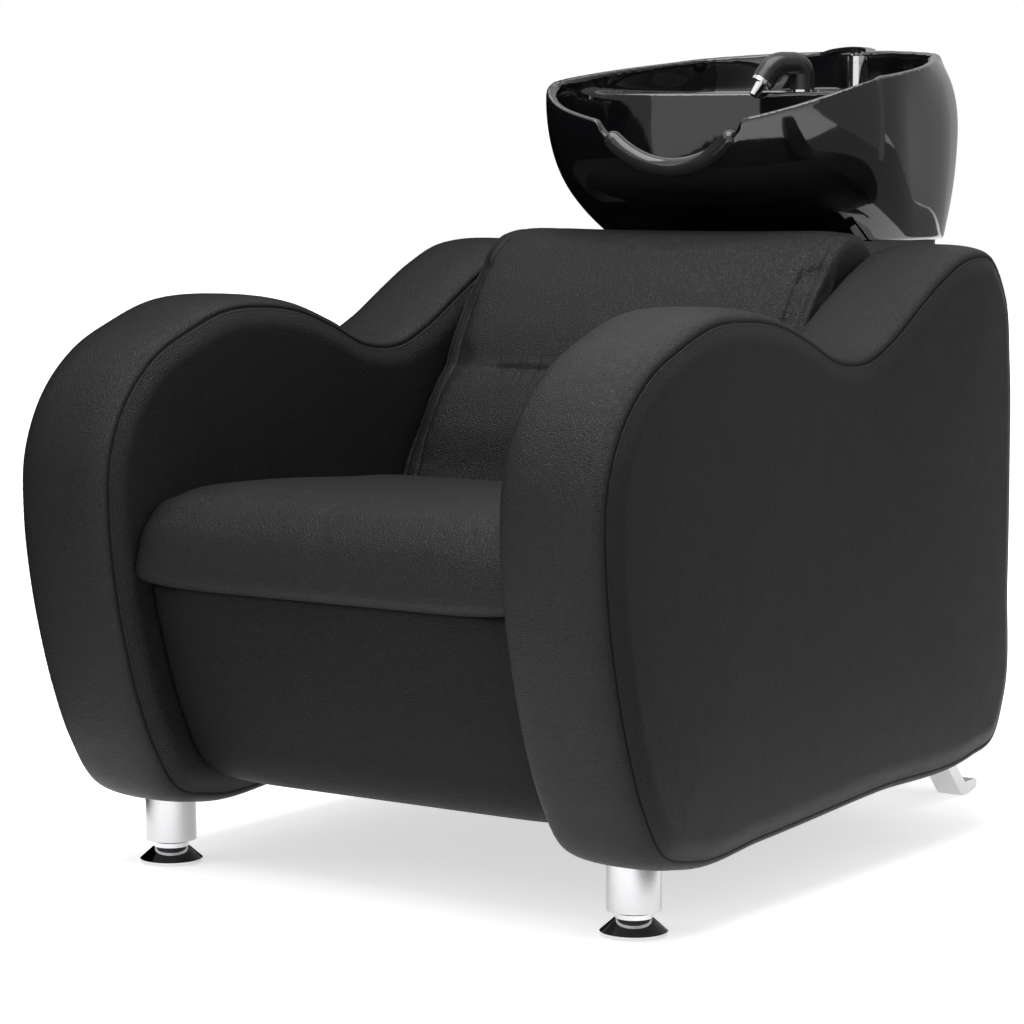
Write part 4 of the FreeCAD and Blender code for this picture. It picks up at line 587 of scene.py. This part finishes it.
# Keeps a move of nothing from being divided by zero
SHORTEST_MOVE = 1e-9


def swell(piece, cap, hold):
    """Blows the piece up as cloth by cap at most; hold(points) says how much of it each point keeps."""
    start = vectors_of(piece, "co")
    cloth = piece.modifiers.new("cloth", "CLOTH")
    cloth.settings.use_pressure = True
    cloth.settings.uniform_pressure_force = SWELL_PRESSURE
    cloth.settings.effector_weights.gravity = 0
    cloth.settings.quality = SWELL_QUALITY
    cloth.point_cache.frame_end = SWELL_FRAMES
    for number in range(1, SWELL_FRAMES + 1):
        bpy.context.scene.frame_set(number)
    bake(piece)
    bpy.context.scene.frame_set(1)
    move = vectors_of(piece, "co") - start
    length = np.linalg.norm(move, axis=1)
    move *= (np.minimum(length, cap) / np.maximum(length, SHORTEST_MOVE) * hold(start))[:, None]
    move_points(piece, start + move)


def ramp(values, low, high):
    """0 below low, 1 above high and a soft step between."""
    t = np.clip((values - low) / (high - low), 0, 1)
    return t * t * (3 - 2 * t)


def groove(distance, width):
    """The depth share of a sewn line at a distance from it."""
    return np.exp(-((distance / width) ** 2))


def finish_cushion(piece, node):
    """Subdivides and dresses a cushion that stands for a node."""
    subdivide(piece)
    dress(piece, "chair_base", "upholstery")
    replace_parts(piece, node)


# Voxels of the cushions and pads, and how far they reach to each side
CUSHION_VOXEL = 0.0055
SIDE_REACH = 0.2505


def within_arms(points):
    """The points, kept between the arms."""
    points[:, 0] = np.clip(points[:, 0], -SIDE_REACH, SIDE_REACH)
    return points


# Where a cushion starts and ends to swell, up from its lowest point and forward of its rearmost one
SEAT_HELD = (0.01, 0.06)
BACK_HELD = (0.08, 0.14)
REAR_HELD = (-0.10, -0.02)


def held(low, high, heights):
    """How much of its swelling each point keeps: none at the foot and the rear, all at the front."""

    def hold(points):
        above = ramp(points[:, 2], low.z + heights[0], low.z + heights[1])
        ahead = 1 - ramp(points[:, 1], high.y + REAR_HELD[0], high.y + REAR_HELD[1])
        return above * ahead
    return hold


def seat():
    """The seat: a full roll at the front, flat where it rests on its board."""
    piece = copy_of("seat_cushion", "seat_cushion_cover")
    remesh(piece, CUSHION_VOXEL)
    swell(piece, SEAT_SWELL, held(SEAT_LOW, SEAT_HIGH, SEAT_HELD))
    move_points(piece, within_arms(vectors_of(piece, "co")))
    finish_cushion(piece, "seat_cushion")


# Back seams up both edges: places across, width and depth
EDGE_SEAMS = (0.222, 0.240)
EDGE_SEAM_WIDTH = 0.0022
EDGE_SEAM_DEPTH = 0.0018

# Back seam across the body: its height, its sewn reach each way, width, depths where sewn and folded
LUMBAR_HEIGHT = 0.553
LUMBAR_REACH = 0.155
LUMBAR_WIDTH = 0.0036
LUMBAR_DEPTH = 0.0045
LUMBAR_FOLD_DEPTH = 0.0010

# How the seam across fades: before the edge seams, and from inside to outside its sewn reach
FOLD_FADE = 0.006
SEWN_FADE = (-0.008, 0.004)

# Gathers beside that seam: depth, reach, points across, cycles and seed
LUMBAR_PUCKER = 0.0012
LUMBAR_PUCKER_REACH = 0.016
GATHER_POINTS = 400
GATHER_CYCLES = (18, 60)
GATHER_SEED = 5

# How far a face turns to the front and up, from none to all of a seam's depth
FRONT_TURN = (0.1, 0.5)


def seam_depths(points, normals):
    """How far each point of the back is drawn in by its seams and gathers."""
    front = ramp(-normals[:, 1] + normals[:, 2], *FRONT_TURN)
    aside = np.abs(points[:, 0])
    above = points[:, 2] - LUMBAR_HEIGHT
    sink = np.zeros(len(points))
    for x in EDGE_SEAMS:
        sink += EDGE_SEAM_DEPTH * groove(aside - x, EDGE_SEAM_WIDTH) * front
    across = 1 - ramp(aside, EDGE_SEAMS[0] - FOLD_FADE, EDGE_SEAMS[0])
    sewn = 1 - ramp(aside, LUMBAR_REACH + SEWN_FADE[0], LUMBAR_REACH + SEWN_FADE[1])
    depth = LUMBAR_FOLD_DEPTH + (LUMBAR_DEPTH - LUMBAR_FOLD_DEPTH) * sewn
    wave = wave_noise(np.random.default_rng(GATHER_SEED), GATHER_POINTS, *GATHER_CYCLES)
    gather = np.interp(points[:, 0], np.linspace(-SIDE_REACH, SIDE_REACH, GATHER_POINTS), wave)
    sink += depth * groove(above, LUMBAR_WIDTH) * front * across
    sink += LUMBAR_PUCKER * gather * groove(above, LUMBAR_PUCKER_REACH) * front * sewn
    for sign in (-1, 1):
        away = np.hypot(points[:, 0] - sign * LUMBAR_REACH, above)
        sink += LUMBAR_PUCKER * groove(away, LUMBAR_PUCKER_REACH) * front
    return sink


def back():
    """The back: two soft rolls with a sewn line across them and two up each edge."""
    piece = copy_of("back_cushion", "back_cushion_cover")
    remesh(piece, CUSHION_VOXEL)
    swell(piece, BACK_SWELL, held(BACK_LOW, BACK_HIGH, BACK_HELD))
    subdivide(piece)
    points, normals = vectors_of(piece, "co"), vectors_of(piece, "normal")
    move_points(piece, within_arms(points - normals * seam_depths(points, normals)[:, None]))
    finish_cushion(piece, "back_cushion")


# Thin pads: the rounds that soften their edges, and the strip below the top edge that is lifted
PAD_SMOOTHING = 3
LIFT_RUN = 0.03
APRON_LIFT = 0.004

# The strips at a pad's sides and rear that flare out behind an arm's rounded edge
FLARE_REACH = 0.020
FLARE_RUN = 0.016
REAR_FLARE = 0.0055


def plain_pad(node, name, lift, flare):
    """A thin pad over a board: edges rounded, top edge lifted a little, rear corners flared."""
    piece = copy_of(node, name)
    remesh(piece, CUSHION_VOXEL)
    smooth(piece, PAD_SMOOTHING)
    points = within_arms(vectors_of(piece, "co"))
    top = points[:, 2].max()
    points[:, 2] += lift * ramp(points[:, 2], top - LIFT_RUN, top)
    rear = ramp(points[:, 1], points[:, 1].max() - FLARE_RUN, points[:, 1].max())
    side = ramp(np.abs(points[:, 0]), SIDE_REACH - FLARE_REACH, SIDE_REACH)
    points[:, 0] += np.sign(points[:, 0]) * flare * rear * side
    move_points(piece, points)
    finish_cushion(piece, node)
    return piece


def apron():
    """The pad below the seat, in a duller copy of the vinyl whose lower sheen is painted shade for the
    seat's overhang.
    """
    piece = plain_pad("apron_pad", "apron_cover", APRON_LIFT, 0.0)
    # painted shade: a copy of the vinyl with less sheen darkens the apron as if shaded by the seat
    piece.data.materials[0] = leather("painted_shade_black_vinyl", PAINTED_SHADE_SHEEN)


# Voxels and smoothing rounds of the basin and of the neck rest
BASIN_VOXEL = 0.0022
BASIN_SMOOTHING = 26
REST_VOXEL = 0.002
REST_SMOOTHING = 6


def basin():
    """The bowl, its rim and edges rounded as glaze rounds them, and the gel rest in its neck cut."""
    piece = copy_of("basin", "glazed_basin")
    remesh(piece, BASIN_VOXEL)
    smooth(piece, BASIN_SMOOTHING)
    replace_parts(dress(piece, "basin_unit", "basin_glaze"), "basin")
    rest = copy_of("neck_rest", "neck_rest_gel")
    remesh(rest, REST_VOXEL)
    smooth(rest, REST_SMOOTHING)
    dress(rest, "basin_unit", "rubber")
    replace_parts(rest, "neck_rest")


# Hoses cut into close rings: node, slot, the bodies at its fixed and its moving end, and which way
# the bend runs along it, as an axis and a sense
HOSES = [
    ("hot_hose", "hose_braid", "chair_base", "basin_unit", 2, 1),
    ("cold_hose", "hose_braid", "chair_base", "basin_unit", 2, 1),
    ("drain_hose", "black_plastic", "chair_base", "basin_unit", 2, 1),
    ("shower_hose", "hose_braid", "basin_unit", "hand_shower", 0, -1),
]

# How far apart a hose's rings are, across x and across z, and the share at each end that doesn't bend
HOSE_RING_STEP = 0.010
HOSE_RING_AXES = (0, 2)
HOSE_END_SHARE = 0.16


def bending_hose(node, slot, fixed, moving, axis, sense):
    """A hose cut into close rings along x and z, put in place of its node; the bodies at its fixed and
    its moving end are not used.
    """
    piece = copy_of(node, node + "_bent")
    low, high = (np.array(corner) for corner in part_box(node))
    bm = bmesh.new()
    bm.from_mesh(piece.data)
    for k in HOSE_RING_AXES:
        way = np.eye(3)[k]
        for place in np.arange(low[k] + HOSE_RING_STEP, high[k], HOSE_RING_STEP):
            parts = bm.verts[:] + bm.edges[:] + bm.faces[:]
            bmesh.ops.bisect_plane(bm, geom=parts, plane_co=way * place, plane_no=way)
    bm.to_mesh(piece.data)
    bm.free()
    shade(piece, slot)
    start, end = low.copy(), low.copy()
    near, far = (low[axis], high[axis]) if sense > 0 else (high[axis], low[axis])
    start[axis] = near + HOSE_END_SHARE * (far - near)
    end[axis] = far - HOSE_END_SHARE * (far - near)
    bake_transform(piece)
    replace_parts(piece, node)


# Stage, lights and camera: the floor's half width, then the floor's glow for the camera, which changes
# between two distances from the chair's middle
FLOOR_HALF = 14.0
FLOOR_NEAR = 0.9
FLOOR_FAR = 2.6
FLOOR_NEAR_GLOW = 0.62
FLOOR_FAR_GLOW = 1.0


def stage():
    """A pale floor that the camera and reflections see glow, less near the chair."""
    size = FLOOR_HALF
    corners = [(-size, -size, 0), (size, -size, 0), (size, size, 0), (-size, size, 0)]
    floor = new_object("floor", corners, [(0, 1, 2, 3)])
    shader = Shader("white_floor").set(Roughness=0.7, Specular_IOR_Level=0.1)
    shader.tint(shader.noise(2, 2), (0.86, 0.86, 0.86), (0.88, 0.88, 0.88))
    length = shader.add("ShaderNodeVectorMath", operation="LENGTH")
    shader.join(shader.place, length.inputs[0])
    glow = shader.between(length.outputs["Value"], FLOOR_NEAR, FLOOR_FAR, FLOOR_NEAR_GLOW, FLOOR_FAR_GLOW)
    path = shader.add("ShaderNodeLightPath")
    seen = shader.add("ShaderNodeMath", operation="MAXIMUM")
    shader.join(path.outputs["Is Camera Ray"], seen.inputs[0])
    shader.join(path.outputs["Is Glossy Ray"], seen.inputs[1])
    shown = shader.add("ShaderNodeMath", operation="MULTIPLY")
    shader.join(seen.outputs[0], shown.inputs[0])
    shader.join(glow, shown.inputs[1])
    shader.surface.inputs["Emission Color"].default_value = (1, 1, 1, 1)
    shader.join(shown.outputs[0], shader.surface.inputs["Emission Strength"])
    floor.data.materials.append(shader.material)


# The world's strength as light; the camera and reflections see it at full strength
WORLD_LIGHT = 0.48


def world():
    """White for the camera and in reflections, about half as strong as light."""
    world_data = bpy.data.worlds.new("studio")
    bpy.context.scene.world = world_data
    world_data.use_nodes = True
    tree = world_data.node_tree
    background = tree.nodes["Background"]
    background.inputs["Color"].default_value = (1, 1, 1, 1)
    path = tree.nodes.new("ShaderNodeLightPath")
    direct = tree.nodes.new("ShaderNodeMath")
    direct.operation = "MAXIMUM"
    all_seen = tree.nodes.new("ShaderNodeMath")
    all_seen.operation = "MAXIMUM"
    strength = tree.nodes.new("ShaderNodeMapRange")
    strength.inputs["To Min"].default_value = WORLD_LIGHT
    strength.inputs["To Max"].default_value = 1.0
    tree.links.new(path.outputs["Is Camera Ray"], direct.inputs[0])
    tree.links.new(path.outputs["Is Transmission Ray"], direct.inputs[1])
    tree.links.new(direct.outputs[0], all_seen.inputs[0])
    tree.links.new(path.outputs["Is Glossy Ray"], all_seen.inputs[1])
    tree.links.new(all_seen.outputs[0], strength.inputs["Value"])
    tree.links.new(strength.outputs["Result"], background.inputs["Strength"])


# Softboxes: name, place, aim, width, height and power in watts
SOFTBOXES = [
    ("overhead", (0.1, -0.7, 3.2), (0.0, -0.1, 0.4), 2.6, 2.6, 95),
    ("front_left", (-2.6, -2.8, 1.8), (0.0, -0.1, 0.4), 1.6, 2.2, 24),
    ("right_strip", (3.0, 0.9, 1.6), (0.0, 0.3, 0.7), 0.5, 2.2, 6),
]


def softboxes():
    """The studio's soft lights."""
    for name, place, aim, width, height, power in SOFTBOXES:
        light = bpy.data.lights.new(name, "AREA")
        light.shape = "RECTANGLE"
        light.size = width
        light.size_y = height
        light.energy = power
        lamp = bpy.data.objects.new(name, light)
        lamp.location = place
        lamp.rotation_euler = (Vector(aim) - Vector(place)).to_track_quat("-Z", "Y").to_euler()
        bpy.context.collection.objects.link(lamp)


# Studio cards that only reflections show: name, middle, width, height, tip about X and turn about Z in
# degrees, and glow
CARDS = [
    ("left_card", (-0.62, 0.1, 0.62), 3.6, 1.24, 0, 90, 0.0),
    ("right_card", (2.6, 3.2, 2.01), 6.4, 4.0, 0, -35, 0.38),
    ("front_right_card", (2.5, -0.7, 2.01), 3.6, 4.0, 0, -82, 0.38),
    ("rear_card", (-1.2, 4.4, 2.01), 4.4, 4.0, 0, 15, 0.42),
    ("right_strip_card", (1.9, 0.8, 1.51), 0.22, 3.0, 0, -100, 0.50),
    ("right_floor_card", (1.9, 1.4, 0.02), 2.8, 4.6, 90, 0, 0.24),
]


def cards():
    """The studio's cards, which nothing but a reflection shows."""
    for name, middle, width, height, tip, turn, glow in CARDS:
        x, z = width / 2, height / 2
        corners = [(-x, 0, -z), (x, 0, -z), (x, 0, z), (-x, 0, z)]
        card = new_object(name, corners, [(0, 1, 2, 3)])
        card.location = middle
        card.rotation_euler = (math.radians(tip), 0, math.radians(turn))
        shader = Shader(name).set(Emission_Strength=glow, Specular_IOR_Level=0.0, Roughness=1.0)
        shader.tint(shader.noise(3, 2), (0.0, 0.0, 0.0), (0.004, 0.004, 0.004))
        shader.surface.inputs["Emission Color"].default_value = (1, 1, 1, 1)
        card.data.materials.append(shader.material)
        card.visible_camera = False
        card.visible_diffuse = False
        card.visible_transmission = False
        card.visible_volume_scatter = False
        card.visible_shadow = False


def camera():
    """The photograph's camera."""
    data = bpy.data.cameras.new("photo_camera")
    data.lens = CAMERA_LENS
    data.sensor_width = CAMERA_SENSOR
    eye = bpy.data.objects.new("photo_camera", data)
    eye.location = CAMERA_PLACE
    eye.rotation_euler = (CAMERA_AIM - CAMERA_PLACE).to_track_quat("-Z", "Y").to_euler()
    bpy.context.collection.objects.link(eye)
    bpy.context.scene.camera = eye


finish_nodes()
arm_cover("left", -1)
arm_cover("right", 1)
seat()
back()
apron()
plain_pad("rear_panel", "rear_panel_cover", 0.0, REAR_FLARE)
basin()
for hose in HOSES:
    bending_hose(*hose)
stage()
world()
softboxes()
cards()
camera()
bpy.context.scene.view_settings.view_transform = "Standard"
